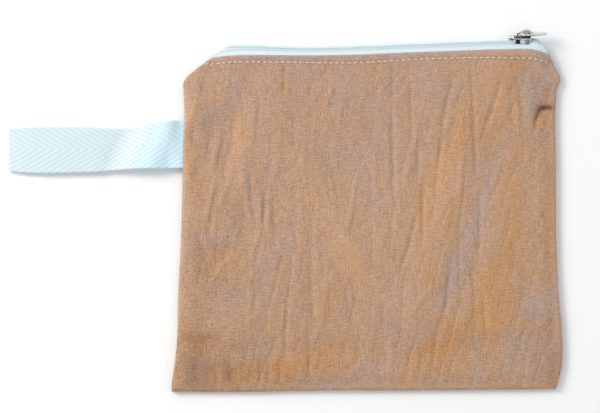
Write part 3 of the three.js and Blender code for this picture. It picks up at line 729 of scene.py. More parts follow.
LEAN, LEAN_BETWEEN = 0.22, (0, 50)
WAVE_HEIGHT, LONG_DEPTH, SHORT_DEPTH, DENT_HEIGHT, CREASE_SHARP = 0.22, 0.45, 0.30, 0.12, 5


def sharp_lines(relief):
    """1 along the lines where a relief changes sign, falling off steeply on both sides."""
    return np.exp(-CREASE_SHARP * np.abs(relief))


def wrinkles(x, y):
    """Fine crumpling: soft upright waves, long and short sharp creases in random areas, and small dents.
    On the right the cloth is drawn towards the lower left, so the waves lean that way."""
    x = x - LEAN * y * ease(x, *LEAN_BETWEEN)
    waves = WAVE_HEIGHT * crumple(x, y, 22, 70, seed=3)
    long_creases = sharp_lines(crumple(x, y, 12, 46, seed=5))
    long_creases = long_creases * ease(crumple(x, y, 40, 50, seed=6), -0.6, 0.3)
    short_creases = sharp_lines(crumple(x, y, 8, 24, seed=12))
    short_creases = short_creases * ease(crumple(x, y, 30, 30, seed=14), -0.3, 0.5)
    dents = DENT_HEIGHT * crumple(x, y, 5, 12, seed=8)
    return waves - LONG_DEPTH * long_creases - SHORT_DEPTH * short_creases + dents


print("wrinkle at the middle, mm:", round(float(wrinkles(np.array(0.0), np.array(0.0))), 2))

# %% [markdown]
# The front cloth is sewn to the back inside out, and the bag is then turned right side out. So the cloth
# rolls up out of its seams and puffs a little, and the seam allowance inside shows through as a low
# ridge. A few curves of the distance from the seam give that without any sculpting.

# %% Rise from the seams
ROLL_HEIGHT, ROLL_REACH = 1.0, 2.5
PUFF_HEIGHT, PUFF_REACH = 1.6, 11.0
LOFT_HEIGHT, LOFT_REACH = 2.8, 55.0
RIDGE_HEIGHT, RIDGE_INSET, RIDGE_WIDTH = 0.3, 6.5, 3.2


def seam_rise(distance):
    """Height gained inside a seam: a quick round roll, a puffed rim, the slow rise of slack cloth, and
    the ridge of the seam allowance."""
    rolled = ROLL_HEIGHT * quarter_round(distance, ROLL_REACH)
    puffed = PUFF_HEIGHT * ease(distance, 0, PUFF_REACH) + LOFT_HEIGHT * ease(distance, 0, LOFT_REACH)
    return rolled + puffed + RIDGE_HEIGHT * bump(distance - RIDGE_INSET, RIDGE_WIDTH)


print("rise 2, 10 and 50 mm inside a seam, mm:", seam_rise(np.array([2.0, 10, 50])).round(2))

# %% [markdown]
# The front cloth spans from seam to seam and from the bottom seam to the zip. It climbs to the zip, and
# lifts over the two layers of the wrist loop where they go into the seam. The row of stitches pulls it
# down beside its folded edge. One function gives its place and height anywhere, so that the stitches can
# be set on it later.

# %% Shape of the front cloth
CHAMFER_FROM = 174.0
CLIMB_FROM, CLIMB_TO = 118.0, 188.0
SIDE_CLIMB_LEFT, SIDE_CLIMB_RIGHT = 55.0, 40.0
SEAM_TURN = 3.5
FOLD_MARGIN, CREASE_MARGIN, CREASE_OFF_ZIP = (2, 14), (0.5, 6), (4.5, 9)
LOOP_Y, LOOP_HALF, LOOP_SOFT = 41.4, 13.4, 2.0
LOOP_LIFT, LOOP_SPREAD, LOOP_FADE = 2.0, 26.0, (2.0, 16.0)
STITCH_LINE = table(
    "x inset",
    (-80, 3.75), (-49, 4.0), (-20, 4.4), (-3, 4.6), (12, 4.3), (28, 4.0), (46, 4.0), (63, 4.3), (81, 5.0),
    (95, 5.1))
STITCH_PITCH = 3.4
SEWN_DEPTH, SEWN_RIPPLE, SEWN_HALF, SEWN_FROM_SIDE = 0.20, 0.08, 0.8, (1.0, 5.0)

stitch_inset, = curves(STITCH_LINE)


def front_shape(s, up):
    """Where the front cloth is: x, y and the upper face's height, for places across (0 to 1) and up. The
    height is the seams' rise, blended into the folded edge's height, plus folds, less the sewn groove,
    plus the loop's lift."""
    left, right = left_seam(up), right_seam(up)
    x = left + (right - left) * s
    edge_y, edge_top = fold_edge(x)
    y = bottom_seam(x) + (edge_y - bottom_seam(x)) * up / CLOTH_HEIGHT
    from_left, from_right, from_zip = x - left, right - x, CLOTH_HEIGHT - up
    to_side = np.minimum(from_left, from_right)
    to_seam = np.minimum(to_side, up)
    at_seam = ease(up, CHAMFER_FROM, CLOTH_HEIGHT)
    turned_in = quarter_round(to_side, SEAM_TURN)
    off_sides = ease(from_left, 0, SIDE_CLIMB_LEFT) * ease(from_right, 0, SIDE_CLIMB_RIGHT)
    toward_zip = at_seam + (ease(up, CLIMB_FROM, CLIMB_TO) - at_seam) * off_sides
    top = RIM_TOP + seam_rise(to_seam)
    top = top + (edge_top - top) * toward_zip * turned_in
    inside = ease(to_seam, *FOLD_MARGIN) * ease(from_zip, *FOLD_MARGIN)
    near = ease(to_seam, *CREASE_MARGIN) * ease(from_zip, *CREASE_OFF_ZIP)
    top += inside * fold_relief(BROAD_FOLDS, x, y) + near * (fold_relief(CREASES, x, y) + wrinkles(x, y))
    sewn = SEWN_DEPTH + SEWN_RIPPLE * np.cos(2 * np.pi * x / STITCH_PITCH)
    top -= sewn * bump(from_zip - stitch_inset(x), SEWN_HALF) * ease(to_side, *SEWN_FROM_SIDE)
    aside = np.abs(y - LOOP_Y)
    over_loop = 1 - ease(aside, LOOP_HALF, LOOP_HALF + LOOP_SOFT)
    lifted = LOOP_LIFT * np.exp(-(aside / LOOP_SPREAD) ** 4) * (1 - ease(from_left, *LOOP_FADE))
    top += lifted * np.maximum(turned_in, over_loop)
    return x, y, top


middle_height = front_shape(np.array(0.5), np.array(CLOTH_HEIGHT / 2))[2]
print("height of the front cloth in the middle, mm:", round(float(middle_height), 1))

# %% [markdown]
# The cloth's two colour numbers, its tone and its painted light and shade, come from the tables of
# patches. Random relief makes the edges of the patches ragged and adds an uneven mottle.

# %% Colours of the front cloth
MEAN_TONE, SMALL_MOTTLE, LARGE_MOTTLE = 0.40, 0.09, 0.10
RAGGED_X, RAGGED_Y = 3, 4


def cloth_marks(x, y):
    """How golden the cloth looks, 0 to 1, and its painted light and shade: bands with ragged edges, and an
    uneven mottle."""
    ragged_x = x + RAGGED_X * crumple(x, y, 14, 26, seed=31)
    ragged_y = y + RAGGED_Y * crumple(x, y, 18, 30, seed=32)
    mottle = SMALL_MOTTLE * crumple(x, y, 7, 24, seed=17) + LARGE_MOTTLE * crumple(x, y, 20, 30, seed=18)
    tone = np.clip(MEAN_TONE + mottle + fold_relief(TONE_BANDS, ragged_x, ragged_y), 0, 1)
    return tone, fold_relief(PAINTED_LIGHT_BANDS, (x + ragged_x) / 2, (y + ragged_y) / 2)


middle_marks = cloth_marks(np.array(0.0), np.array(0.0))
print("tone and fade at the middle:", [round(float(mark), 2) for mark in middle_marks])

# %% [markdown]
# The front cloth itself is a fine grid over that shape, with close steps at its edges so that they can be
# round, and a coarser grid one cloth thickness below, which closes it into a wall. Painted shade darkens
# it in the groove of the stitches, and it is more mauve along the hem, where it lies double.

# %% Front cloth
MEAN_WIDTH = 212.0
EDGE_STEPS = np.array([0, 0.15, 0.45, 0.9, 1.5, 2.2, 3.0])


def edge_stations(length, inner):
    """Places from 0 to length with close steps at both ends for the rounded rims."""
    middle = np.linspace(EDGE_STEPS[-1], length - EDGE_STEPS[-1], inner)
    return np.concatenate([EDGE_STEPS[:-1], middle, (length - EDGE_STEPS[:-1])[::-1]])


def cloth_grid(rows, columns):
    """Places over the whole cloth: across from 0 to 1, and up from the bottom seam in millimetres."""
    up = edge_stations(CLOTH_HEIGHT, rows)[:, None]
    s = edge_stations(MEAN_WIDTH, columns)[None, :] / MEAN_WIDTH
    return np.broadcast_arrays(s, up)


FRONT_ROWS, FRONT_COLUMNS, UNDER_STEP = 172, 403, 3
EDGE_ROUND, EDGE_LEAST = 1.5, 0.02
HEM_MAUVE, HEM_HALF = 0.35, 4.5
# painted shade along the groove of the stitches
SEWN_DARK, SEWN_DARK_HALF = 0.16, 1.2


def front_cloth():
    """The upper face and a coarser under face, half a wall's thickness above and below the wall's middle.
    That half shrinks as a quarter circle near the edges."""
    s, up = cloth_grid(FRONT_ROWS, FRONT_COLUMNS)
    x, y, top = front_shape(s, up)
    to_edge = np.minimum(np.minimum(s, 1 - s) * MEAN_WIDTH, np.minimum(up, CLOTH_HEIGHT - up))
    half = CLOTH / 2 * quarter_round(to_edge, EDGE_ROUND, EDGE_LEAST)
    coarse = (slice(None, None, UNDER_STEP), slice(None, None, UNDER_STEP))
    upper = pack(x, y, top - CLOTH / 2 + half)
    under = pack(x, y, top - CLOTH / 2 - half)[coarse]
    tone, fade = cloth_marks(x, y)
    tone = tone - HEM_MAUVE * bump(CLOTH_HEIGHT - up, HEM_HALF)
    # painted shade in the groove of the stitches
    fade = fade - SEWN_DARK * bump(CLOTH_HEIGHT - up - stitch_inset(x), SEWN_DARK_HALF)
    points, faces = wall(upper, under)
    marks = {name: np.concatenate([mark.ravel(), mark[coarse].ravel()])
             for name, mark in (("tone", tone), ("fade", fade))}
    return add_piece("front_cloth", points, faces, COTTON, points[:, :2], marks)


front = front_cloth()
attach(front, "bag")
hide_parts("front_panel")

# %% [markdown]
# The back cloth has the same cut and lies flat on the table. Its edges turn up to meet the front at the
# seams, and a few creases lift off the table. They come from the front cloth's crumpling, read at another
# place so that the two sides differ, and only its valleys are kept, because nothing can dent the table.

# %% Back cloth
OTHER_PLACE = (20.0, 37.0)
BACK_ROWS, BACK_COLUMNS, BACK_SHORT = 130, 150, 0.1
BACK_MARGIN = (3, 12)
RIM_DROP, RIM_REACH = 0.25, 1.2
SEAM_LIFT, SEAM_LIFT_REACH = 0.6, 3.0
ZIP_LIFT, ZIP_LIFT_REACH = 0.25, 9.0
THINNEST = 0.3
BACK_TONE, BACK_MOTTLE = 0.5, 0.3


def back_cloth():
    """The upper face is flat and drops a little at the rim, the under face turns up to the seams and the
    zip, and both ride up over the creases."""
    s, up = cloth_grid(BACK_ROWS, BACK_COLUMNS)
    left, right = left_seam(up), right_seam(up)
    x = left + (right - left) * s
    tall = fold_edge(x)[0] - EDGE_COVER - BACK_SHORT - bottom_seam(x)
    y = bottom_seam(x) + tall * up / CLOTH_HEIGHT
    edge = np.minimum(np.minimum(x - left, right - x), np.minimum(up, CLOTH_HEIGHT - up))
    lifted = ease(edge, *BACK_MARGIN) * (-wrinkles(OTHER_PLACE[0] - x, y + OTHER_PLACE[1])).clip(0)
    top = CLOTH - RIM_DROP * (1 - ease(edge, 0, RIM_REACH))
    under = SEAM_LIFT * (1 - ease(edge, 0, SEAM_LIFT_REACH))
    under = under + ZIP_LIFT * (1 - ease(CLOTH_HEIGHT - up, 0, ZIP_LIFT_REACH))
    under = np.minimum(under, top - THINNEST) + lifted
    top = top + lifted
    points, faces = wall(pack(x, y, top), pack(x, y, under))
    tone = BACK_TONE + BACK_MOTTLE * crumple(points[:, 0], points[:, 1], 40, 60, seed=11)
    return add_piece("back_cloth", points, faces, COTTON, points[:, :2], {"tone": tone})


back = back_cloth()
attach(back, "bag")
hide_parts("back_panel")

# %% [markdown]
# The zip's two tapes are plain white woven bands. A faint grey line is the sewing that holds the teeth to
# the tape. It is painted, since its thread is too fine to model. The right end of the tape is made whiter
# than the rest with painted light.

# %% White tape finish
TAPE_YARNS, TAPE_FIBRE = (0.6, 0.5), (2.0, 0.6, 1.0)
RIB_TINT, TINT_RANGE, TAPE_RELIEF = 0.12, (0.2, 0.8), 0.00012
TAPE_SHADE, TAPE_WHITE = (0.62, 0.71, 0.76, 1), (0.72, 0.80, 0.84, 1)
# painted light on the right end of the tape
LIT_END, PAINTED_LIGHT_WHITE = (88.0, 95.0), (0.84, 0.95, 1.0, 1)
SEWING_AT, SEWING_EDGE, SEWING_SHARE, SEWING_GREY = 5.4, (0.2, 1.2), 0.6, (0.42, 0.53, 0.60, 1)


def white_tape_finish():
    """Two sets of ribs and stretched noise shade the white; the line of sewing is greyer, and painted
    light makes one end whiter."""
    tape = Finish("white_zip_tape")
    cut, along, across = tape.cut_axes()
    ribs = along.wave(TAPE_YARNS[0]) * 0.5 + across.wave(TAPE_YARNS[1]) * 0.5
    fibre = tape.noise(tape.stretch(cut, TAPE_FIBRE), 1.0, detail=3.0)
    shade = (fibre + ribs * RIB_TINT).between(*TINT_RANGE)
    colour = tape.mix(shade, TAPE_SHADE, TAPE_WHITE)
    sewing = 1 - (across - SEWING_AT).abs().between(*SEWING_EDGE)
    colour = tape.mix(sewing * SEWING_SHARE, colour, SEWING_GREY)
    # painted light whitens the right end of the tape
    colour = tape.mix(along.between(*LIT_END), colour, PAINTED_LIGHT_WHITE)
    tape.set(Base_Color=colour, Roughness=0.88, Specular_IOR_Level=0.25,
             Normal=tape.bump(ribs * 0.5 + fibre, TAPE_RELIEF, strength=0.5))
    return tape.material


ZIP_TAPE = white_tape_finish()
print("finish:", ZIP_TAPE.name)

# %% [markdown]
# Behind the slider the zip is closed, and its teeth mesh. Ahead of it the last few teeth stand apart, and
# the tapes with them, until the seam draws the zip's end together. One function says how far apart they
# are, and both the tapes and the teeth use it.

# %% Gap between the teeth
SLIDER_X = 86.0
TEETH_PART, PART_FROM, PART_TO = 1.35, -0.5, 5.0
TEETH_MEET, MEET_FROM = 0.95, 6.0
TAPE_ENDS = (ZIP_ENDS[0] + 1, ZIP_ENDS[1] - 1)


def teeth_apart(x):
    """How far each row of teeth stands off the middle: meshed behind the slider, apart ahead of it, and
    drawn together again where the zip ends."""
    parted = ease(x, SLIDER_X + PART_FROM, SLIDER_X + PART_TO)
    return TEETH_PART * parted * (1 - TEETH_MEET * ease(x, SLIDER_X + MEET_FROM, TAPE_ENDS[1]))


parted_ahead = teeth_apart(SLIDER_X + np.array([0, 5]))
print("teeth off the middle at the slider and 5 mm ahead, mm:", parted_ahead.round(2))

# %% [markdown]
# Each tape runs flat beside the teeth and then turns in under the folded edge of its cloth. Its
# cross-section is a short bent line, carried along the zip and given a thickness.

# %% Zip tapes
def resample(line, count):
    """Points spaced evenly between the corners of each cross-section's bent line, which runs along axis
    1."""
    share = np.linspace(0, 1, count) * (line.shape[1] - 1)
    i = np.minimum(share.astype(int), line.shape[1] - 2)
    t = (share - i)[None, :, None]
    return line[:, i] * (1 - t) + line[:, i + 1] * t


TAPE_START, TAPE_REACH, TAPE_EASE, BACK_FOLD = 0.24, 1.8, 0.5, 4.3
TAPE_HIDDEN, TAPE_DROP, TAPE_WIDTH = 6.0, 0.9, 13.0
TAPE_STATIONS, TAPE_POINTS = 240, 19


def zip_tape(name, side):
    """A tape from beside the teeth, flat to the fold, then in under the cloth; side is -1 in front and 1
    behind."""
    x = np.linspace(*TAPE_ENDS, TAPE_STATIONS)
    full, depth = zip_fullness(x), tape_depth(x)
    start = TAPE_START + teeth_apart(x)
    inner = zip_point(x, side * start, depth)
    flat = zip_point(x, side * (start + (TAPE_REACH - TAPE_START) * full), depth + TAPE_EASE * full)
    if side < 0:
        turn = pack(x, fold_y(x), zip_z(x) + fold_rise(x))
    else:
        turn = zip_point(x, BACK_FOLD * full, depth)
        turn[:, 2] = CLOTH + GAP + TAPE_THICK / 2
    hidden = turn.copy()
    hidden[:, 1] -= TAPE_HIDDEN * full
    hidden[:, 2] -= TAPE_DROP * full if side < 0 else 0.0
    line = resample(np.stack([inner, flat, turn, hidden], axis=1), TAPE_POINTS)
    run = np.gradient(line, axis=1)
    normal = unit(pack(0, -run[..., 2], run[..., 1])) * TAPE_THICK / 2
    points, faces = wall(line + normal * -side, line + normal * side)
    cut = pack(x[:, None], np.linspace(0, TAPE_WIDTH, TAPE_POINTS)[None, :])
    return add_piece(name, points, faces, ZIP_TAPE, np.tile(cut.reshape(-1, 2), (2, 1)))


for tape_name, tape_side in (("front_tape", -1), ("back_tape", 1)):
    tape_piece = zip_tape(tape_name, tape_side)
    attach(tape_piece, "bag")
    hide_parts(tape_name.replace("tape", "zip_tape"))

# %% [markdown]
# The teeth are white nylon, which is smooth but a little cloudy. One noise sets both its colour and its
# roughness, which is enough for wire less than a millimetre thick.

# %% Nylon finish
NYLON_SHADE, NYLON_WHITE = (0.72, 0.85, 0.91, 1), (0.80, 0.92, 0.97, 1)
NYLON_SCALE, NYLON_SMOOTH, NYLON_UNEVEN = 900.0, 0.38, 0.2


def nylon_finish():
    """One noise sets both how white and how rough the nylon is."""
    nylon = Finish("white_nylon")
    cloudy = nylon.noise(nylon.place(), NYLON_SCALE, detail=2.0)
    nylon.set(Base_Color=nylon.mix(cloudy, NYLON_SHADE, NYLON_WHITE),
              Roughness=cloudy * NYLON_UNEVEN + NYLON_SMOOTH)
    return nylon.material


NYLON = nylon_finish()
print("finish:", NYLON.name)

# %% [markdown]
# The teeth are two coils of wire. A coil is a helix: a point that goes round an ellipse while it moves
# along the zip. A ring of six points carried along that path is the wire. The two coils are half a turn
# apart, so their loops mesh, and ahead of the slider they part.

# %% Zip coils
TEETH_ENDS = (-80.0, 97.5)
COIL_PITCH, STEPS_PER_TURN = 1.15, 12
COIL_MIDDLE, COIL_HALF_WIDTH, COIL_HALF_HEIGHT = 1.02, 0.60, 0.40
WIRE_RADIUS, WIRE_SIDES = 0.42, 6


def coil_wire(name, side):
    """One row of teeth: an ellipse round the row's middle that advances one pitch a turn, with a wire on
    it."""
    turns = (TEETH_ENDS[1] - TEETH_ENDS[0] - 2 * WIRE_RADIUS) / COIL_PITCH
    count = int(turns * STEPS_PER_TURN)
    angle = np.arange(count) * 2 * np.pi / STEPS_PER_TURN
    x = TEETH_ENDS[0] + WIRE_RADIUS + angle / (2 * np.pi) * COIL_PITCH
    turn = angle + (0 if side < 0 else np.pi)
    full = zip_fullness(x)
    across = side * ((COIL_MIDDLE + COIL_HALF_WIDTH * np.cos(turn)) * full + teeth_apart(x))
    path = zip_point(x, across, COIL_HALF_HEIGHT * np.sin(turn) * full)
    away = unit(side * np.cos(turn)[:, None] * ACROSS + np.sin(turn)[:, None] * OUT)
    onward = np.array([1.0, 0, 0]) * -side
    thick = WIRE_RADIUS * np.sqrt(full)[:, None]
    rings = rings_round(path, away * thick, onward * thick, round_turn(WIRE_SIDES))
    points, faces = loft(rings[None])
    return add_piece(name, points, faces, NYLON)


for coil_name, coil_side in (("front_teeth", -1), ("back_teeth", 1)):
    coil_piece = coil_wire(coil_name, coil_side)
    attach(coil_piece, "bag")
    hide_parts(coil_name.replace("teeth", "coil"))

# %% [markdown]
# A row of stitches holds the folded edge down to the tape. Their thread is cream. Its fibres are too thin
# to model, so noise much finer than the thread stands for them.

# %% Thread finish
THREAD_SHADE, THREAD_CREAM = (0.66, 0.51, 0.38, 1), (0.94, 0.79, 0.64, 1)
THREAD_SCALE = 2500.0


def thread_finish():
    """Fine noise runs between a shaded and a bright cream."""
    thread = Finish("cream_thread")
    fibre = thread.noise(thread.place(), THREAD_SCALE, detail=2.0)
    thread.set(Base_Color=thread.mix(fibre, THREAD_SHADE, THREAD_CREAM), Roughness=0.75)
    return thread.material


THREAD = thread_finish()
print("finish:", THREAD.name)

# %% [markdown]
# The sewn line is read from the front cloth itself, so that the stitches lie on it however it bends. Its
# distance from the folded edge is the short table used for the groove above, since the real row wanders a
# little.

# %% Line of the stitches
STITCH_ENDS = (-93.5, 106.5)
SEWN_POINTS = 4000


def sewn_line():
    """Close points along the line of stitches on the front cloth, the table's distance from its folded
    edge."""
    s = np.linspace(0, 1, SEWN_POINTS)
    near_edge = CLOTH_HEIGHT - STITCH_LINE["inset"].mean()
    x = left_seam(near_edge) + (right_seam(near_edge) - left_seam(near_edge)) * s
    x, y, top = front_shape(s, CLOTH_HEIGHT - stitch_inset(x))
    return pack(x, y, top)[(x > STITCH_ENDS[0]) & (x < STITCH_ENDS[1])]


stitch_line = sewn_line()
print("sewn line, from and to in mm:", stitch_line[0].round(1), stitch_line[-1].round(1))

# %% [markdown]
# Each stitch is a short thread that dives into the cloth at both ends: rings along a small arch. They are
# set at an even pitch, and a little random sway keeps them from looking printed.

# %% Top stitches
STITCH_SHAPE = table(
    "along thick",
    (-0.5, 0.45), (-0.42, 0.85), (-0.25, 1), (0, 1), (0.25, 1), (0.42, 0.85), (0.5, 0.45))
STITCH_LENGTH = 2.2
STITCH_RISE, STITCH_DIVE, STITCH_SWAY = 0.22, 0.55, 0.18
THREAD_RADIUS, THREAD_SIDES = 0.33, 6


def stitches(line):
    """Each stitch is a path along the sewn line, arched up in the middle and down at its ends and swayed
    a little at random, with rings of thread round it."""
    run = np.concatenate([[0], np.cumsum(np.linalg.norm(np.diff(line, axis=0), axis=1))])
    middles = np.arange(STITCH_PITCH, run[-1] - STITCH_PITCH, STITCH_PITCH)
    along = STITCH_SHAPE["along"]
    sway = np.random.default_rng(21).normal(0, STITCH_SWAY, (len(middles), 2))
    places = (middles + sway[:, 0])[:, None] + along * STITCH_LENGTH
    path = pack(*(np.interp(places, run, axis) for axis in line.T))
    path[..., 1] += sway[:, 1:] * along
    path[..., 2] += STITCH_RISE - STITCH_DIVE * np.abs(2 * along) ** 4
    onward = unit(np.gradient(path, axis=1))
    aside = unit(np.cross(np.array([0, 0, 1.0]), onward))
    thick = THREAD_RADIUS * STITCH_SHAPE["thick"][:, None]
    rings = rings_round(path, aside * thick, np.cross(onward, aside) * thick, round_turn(THREAD_SIDES))
    points, faces = loft(rings)
    print("stitches:", len(middles))
    return add_piece("top_stitches", points, faces, THREAD)


thread = stitches(stitch_line)
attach(thread, "bag")

# %% [markdown]
# The slider stands on the zip, which leans back and lies at a slight slant to the bottom seam. It and the
# pull are made in the slider's own frame, where x runs along the zip, y to the back and z out of the zip,
# and are then moved to their place. That keeps their sizes plain numbers, as on a maker's drawing.

# %% Slider frame
ahead = zip_point(SLIDER_X + 1, 0, 0) - zip_point(SLIDER_X - 1, 0, 0)
ZIP_TURN = math.atan2(ahead[1], ahead[0])
LEVEL_TURN = np.array([[math.cos(ZIP_TURN), -math.sin(ZIP_TURN), 0],
                       [math.sin(ZIP_TURN), math.cos(ZIP_TURN), 0], [0, 0, 1]])
SLIDER_AXES = LEVEL_TURN @ np.column_stack([[1, 0, 0], ACROSS, OUT])
SLIDER_PLACE = zip_point(SLIDER_X, 0, 0)


def on_slider(points):
    """Points of the slider's own frame moved to where it stands on the zip."""
    return points @ SLIDER_AXES.T + SLIDER_PLACE


print("slider stands at, mm:", [round(float(v), 1) for v in SLIDER_PLACE])
print("turned with the zip, degrees:", round(math.degrees(ZIP_TURN), 1))

# %% [markdown]
# The slider and the pull are cast metal with a nickel plating that shows wear, so one finish serves both:
# bright, with clouds and scuffs that change its roughness, and black where the light doesn't reach.

# %% Nickel finish
NICKEL_DULL, NICKEL_BRIGHT = (0.66, 0.68, 0.69, 1), (0.88, 0.89, 0.88, 1)
# painted shade in the slider's hollows, along its plate's edge and under its arch
PAINTED_SHADE_BLACK = (0.03, 0.035, 0.04, 1)
NICKEL_SCALE, SCUFF_STRETCH = 260.0, (300.0, 2600.0, 2600.0)
SCUFF_SHARE, CLOUDY_SHARE, WORN_FULL = 0.22, 0.12, 0.6
NICKEL_SMOOTH, NICKEL_WORN = 0.08, 0.34


def nickel_finish():
    """Clouds run between a dull and a bright metal, painted shade turns it black, and scuffs and clouds
    together make it rougher."""
    nickel = Finish("worn_nickel")
    place = nickel.place()
    cloudy = nickel.noise(place, NICKEL_SCALE, detail=4.0, rough=0.65)
    scuffs = nickel.noise(nickel.stretch(place, SCUFF_STRETCH), 1.0, detail=3.0)
    bright = nickel.mix(cloudy, NICKEL_DULL, NICKEL_BRIGHT)
    wear_and_painted_light = (scuffs * SCUFF_SHARE + cloudy * CLOUDY_SHARE).between(0.0, WORN_FULL)
    nickel.set(Base_Color=nickel.mix(nickel.mark("stain"), bright, PAINTED_SHADE_BLACK), Metallic=1.0,
               Roughness=wear_and_painted_light * NICKEL_WORN + NICKEL_SMOOTH)
    return nickel.material


NICKEL = nickel_finish()
print("finish:", NICKEL.name)

# %% [markdown]
# The metal pieces are made of plates and bars. A plate is an outline with rounded edges: the same outline
# again and again, drawn in at the top and bottom. A bar is rings carried along a path. Cubes with a Bevel
# modifier would be quicker to make, but they have none of the real outlines.

# %% Plates and bars
EDGE_PROFILE = np.array([(0.34, 0.0), (0.10, 0.07), (0.0, 0.30), (0.0, 0.70), (0.10, 0.93), (0.34, 1.0)])
OUTLINE_ENDS = 0.05  # how much of the table is left off at both ends, so that no two points meet


def plate_rings(outline, low, high, steps=36):
    """Rings of a rounded plate: the outline down one side and back up the other, drawn in near the low
    and the high face."""
    place = np.linspace(outline["t"][0] + OUTLINE_ENDS, outline["t"][-1] - OUTLINE_ENDS, steps)
    x, half = (curve(place) for curve in curves(outline))
    edge = np.concatenate([pack(x, -half), pack(x, half)[::-1]])
    run = unit(np.roll(edge, -1, axis=0) - np.roll(edge, 1, axis=0))
    inward = pack(-run[:, 1], run[:, 0])
    return np.array([pack(*(edge + inward * inset).T, low + (high - low) * share)
                     for inset, share in EDGE_PROFILE])


def swept_rings(path, across, half_across, half_away, power=0.6, sides=16):
    """Rings of a rounded bar along a path in the slider's frame: across is one side's direction, the
    other is square to it and to the path; a power below 1 makes the section squarer."""
    onward = unit(np.gradient(path, axis=0))
    away = unit(np.cross(onward, across))
    one_way, other_way = across * np.asarray(half_across)[..., None], away * half_away[:, None]
    return rings_round(path, one_way, other_way, round_turn(sides, power, first=0.5))


def joined(*solids):
    """Points and faces of several sets of rings as one piece."""
    blocks, faces, first = [], [], 0
    for rings in solids:
        points, quads = loft(rings[None])
        blocks.append(points)
        faces.append(quads[0] + first)
        first += len(points)
    return np.concatenate(blocks), faces


print("rings of a plate:", len(EDGE_PROFILE))

# %% [markdown]
# The slider has a top plate with a narrow tail, two walls that fold down over the coils, a base under
# them, a wedge that parts the teeth, and an arch that holds the pull. Each is a plate or a bar from the
# helpers above, with its sizes in a short table.

# %% Parts of the slider
TOP_PLATE = table(
    "t x half",
    (0, -7.4, 0.0), (1, -7.1, 1.4), (2, -6.0, 2.1), (3, -4.9, 2.3), (4, -4.2, 2.9), (5, -1.4, 3.1),
    (6, 2.0, 3.8), (7, 4.4, 4.2), (8, 5.3, 3.2), (9, 5.6, 0.0))
BASE_PLATE = table(
    "t x half",
    (0, -5.0, 0.0), (1, -4.8, 1.2), (2, -4.2, 2.0), (3, -1.4, 2.2), (4, 4.2, 3.0), (5, 5.3, 2.4),
    (6, 5.6, 0.0))
SIDE_WALL = table("x y", (-4.3, 2.6), (-1.4, 2.65), (2.0, 3.4), (4.3, 3.9))
CROWN_ARCH = table(
    "t x z half",
    (0, -2.9, 2.1, 0.40), (1, -2.8, 2.9, 0.40), (2, -2.2, 3.8, 0.50), (3, -0.6, 4.7, 0.62),
    (4, 1.6, 5.45, 0.80), (5, 3.6, 5.7, 1.00), (6, 5.0, 5.05, 0.85), (7, 5.5, 3.7, 0.55),
    (8, 5.5, 2.1, 0.45))
WEDGE = table("t x half", (0, 1.7, 0.0), (1, 2.4, 0.45), (2, 3.6, 0.75), (3, 4.8, 0.45), (4, 5.1, 0.0))
PLATE_LOW, PLATE_HIGH = 0.9, 2.4
TAIL_LIFT, TAIL_BENT = 0.45, (3.0, 6.5)
BASE_LOW, BASE_HIGH = -2.7, -1.95
WALL_FOOT, WALL_TOP, WALL_THICK, WALL_END, WALL_LEAST, WALL_STATIONS = -1.5, 1.3, 0.70, 0.6, 0.15, 26
CROWN_HALF, CROWN_STATIONS = 0.72, 32
WEDGE_SUNK = 0.2


def top_plate_rings():
    """The top plate, with its narrow tail bent up a little."""
    rings = plate_rings(TOP_PLATE, PLATE_LOW, PLATE_HIGH)
    rings[..., 2] += TAIL_LIFT * ease(-rings[..., 0], *TAIL_BENT)
    return rings


def side_wall_rings(side):
    """A wall along one edge of the plate: a flat upright bar whose ends are drawn in."""
    x = np.linspace(SIDE_WALL["x"][0], SIDE_WALL["x"][-1], WALL_STATIONS)
    wall_y, = curves(SIDE_WALL)
    path = pack(x, side * wall_y(x), (WALL_FOOT + WALL_TOP) / 2)
    full = quarter_round(np.minimum(x - x[0], x[-1] - x), WALL_END, WALL_LEAST)
    tall = (WALL_TOP - WALL_FOOT) / 2 * full
    return swept_rings(path, np.array([0, 0, 1.0]), tall, WALL_THICK / 2 * full)


def crown_rings():
    """The arch over the plate: a bar along a curve in the slider's middle plane, thickest at its top."""
    t = np.linspace(0, CROWN_ARCH["t"][-1], CROWN_STATIONS)
    x, z, half = (curve(t) for curve in curves(CROWN_ARCH))
    return swept_rings(pack(x, 0, z), np.array([0, 1.0, 0]), CROWN_HALF, half, power=0.75)


def wedge_rings():
    """The wedge that parts the coils: a plate from the base to the top plate, sunk a little into both."""
    return plate_rings(WEDGE, BASE_HIGH - WEDGE_SUNK, PLATE_LOW + WEDGE_SUNK, steps=12)


slider_points, slider_faces = joined(
    top_plate_rings(), plate_rings(BASE_PLATE, BASE_LOW, BASE_HIGH),
    side_wall_rings(1), side_wall_rings(-1), crown_rings(), wedge_rings())
print("slider, length, width and height in mm:", np.ptp(slider_points, axis=0).round(1))

# %% [markdown]
# Together they are one piece. Its hollows, a line along the top plate's upper edge and the space under
# the arch are black with painted shade. They are smaller than the light can model at this size, so how
# black a point is comes from its place on the slider, as a number stored with it.

# %% Slider
# where the painted shade lies on the slider
HOLLOW_BACK, HOLLOW_FRONT, HOLLOW_FRONT_SHARE = (-3.4, -0.7), (1.8, 4.5), 0.6
HOLLOW_HEIGHT, HOLLOW_FROM = (-1.3, 1.8), (2.3, 2.5)
RIM_DARK_HALF, RIM_DARK_FROM = 0.22, (1.2, 1.6)
TAIL_FROM, TAIL_DARK_DROP, TAIL_DARK_WIDER = (3.8, 5.0), 0.9, 0.25
ARCH_DARK_HEIGHT, ARCH_DARK_BACK, ARCH_DARK_FRONT = (PLATE_HIGH + 0.1, 4.6), (-2.6, -2.3), (4.9, 5.2)


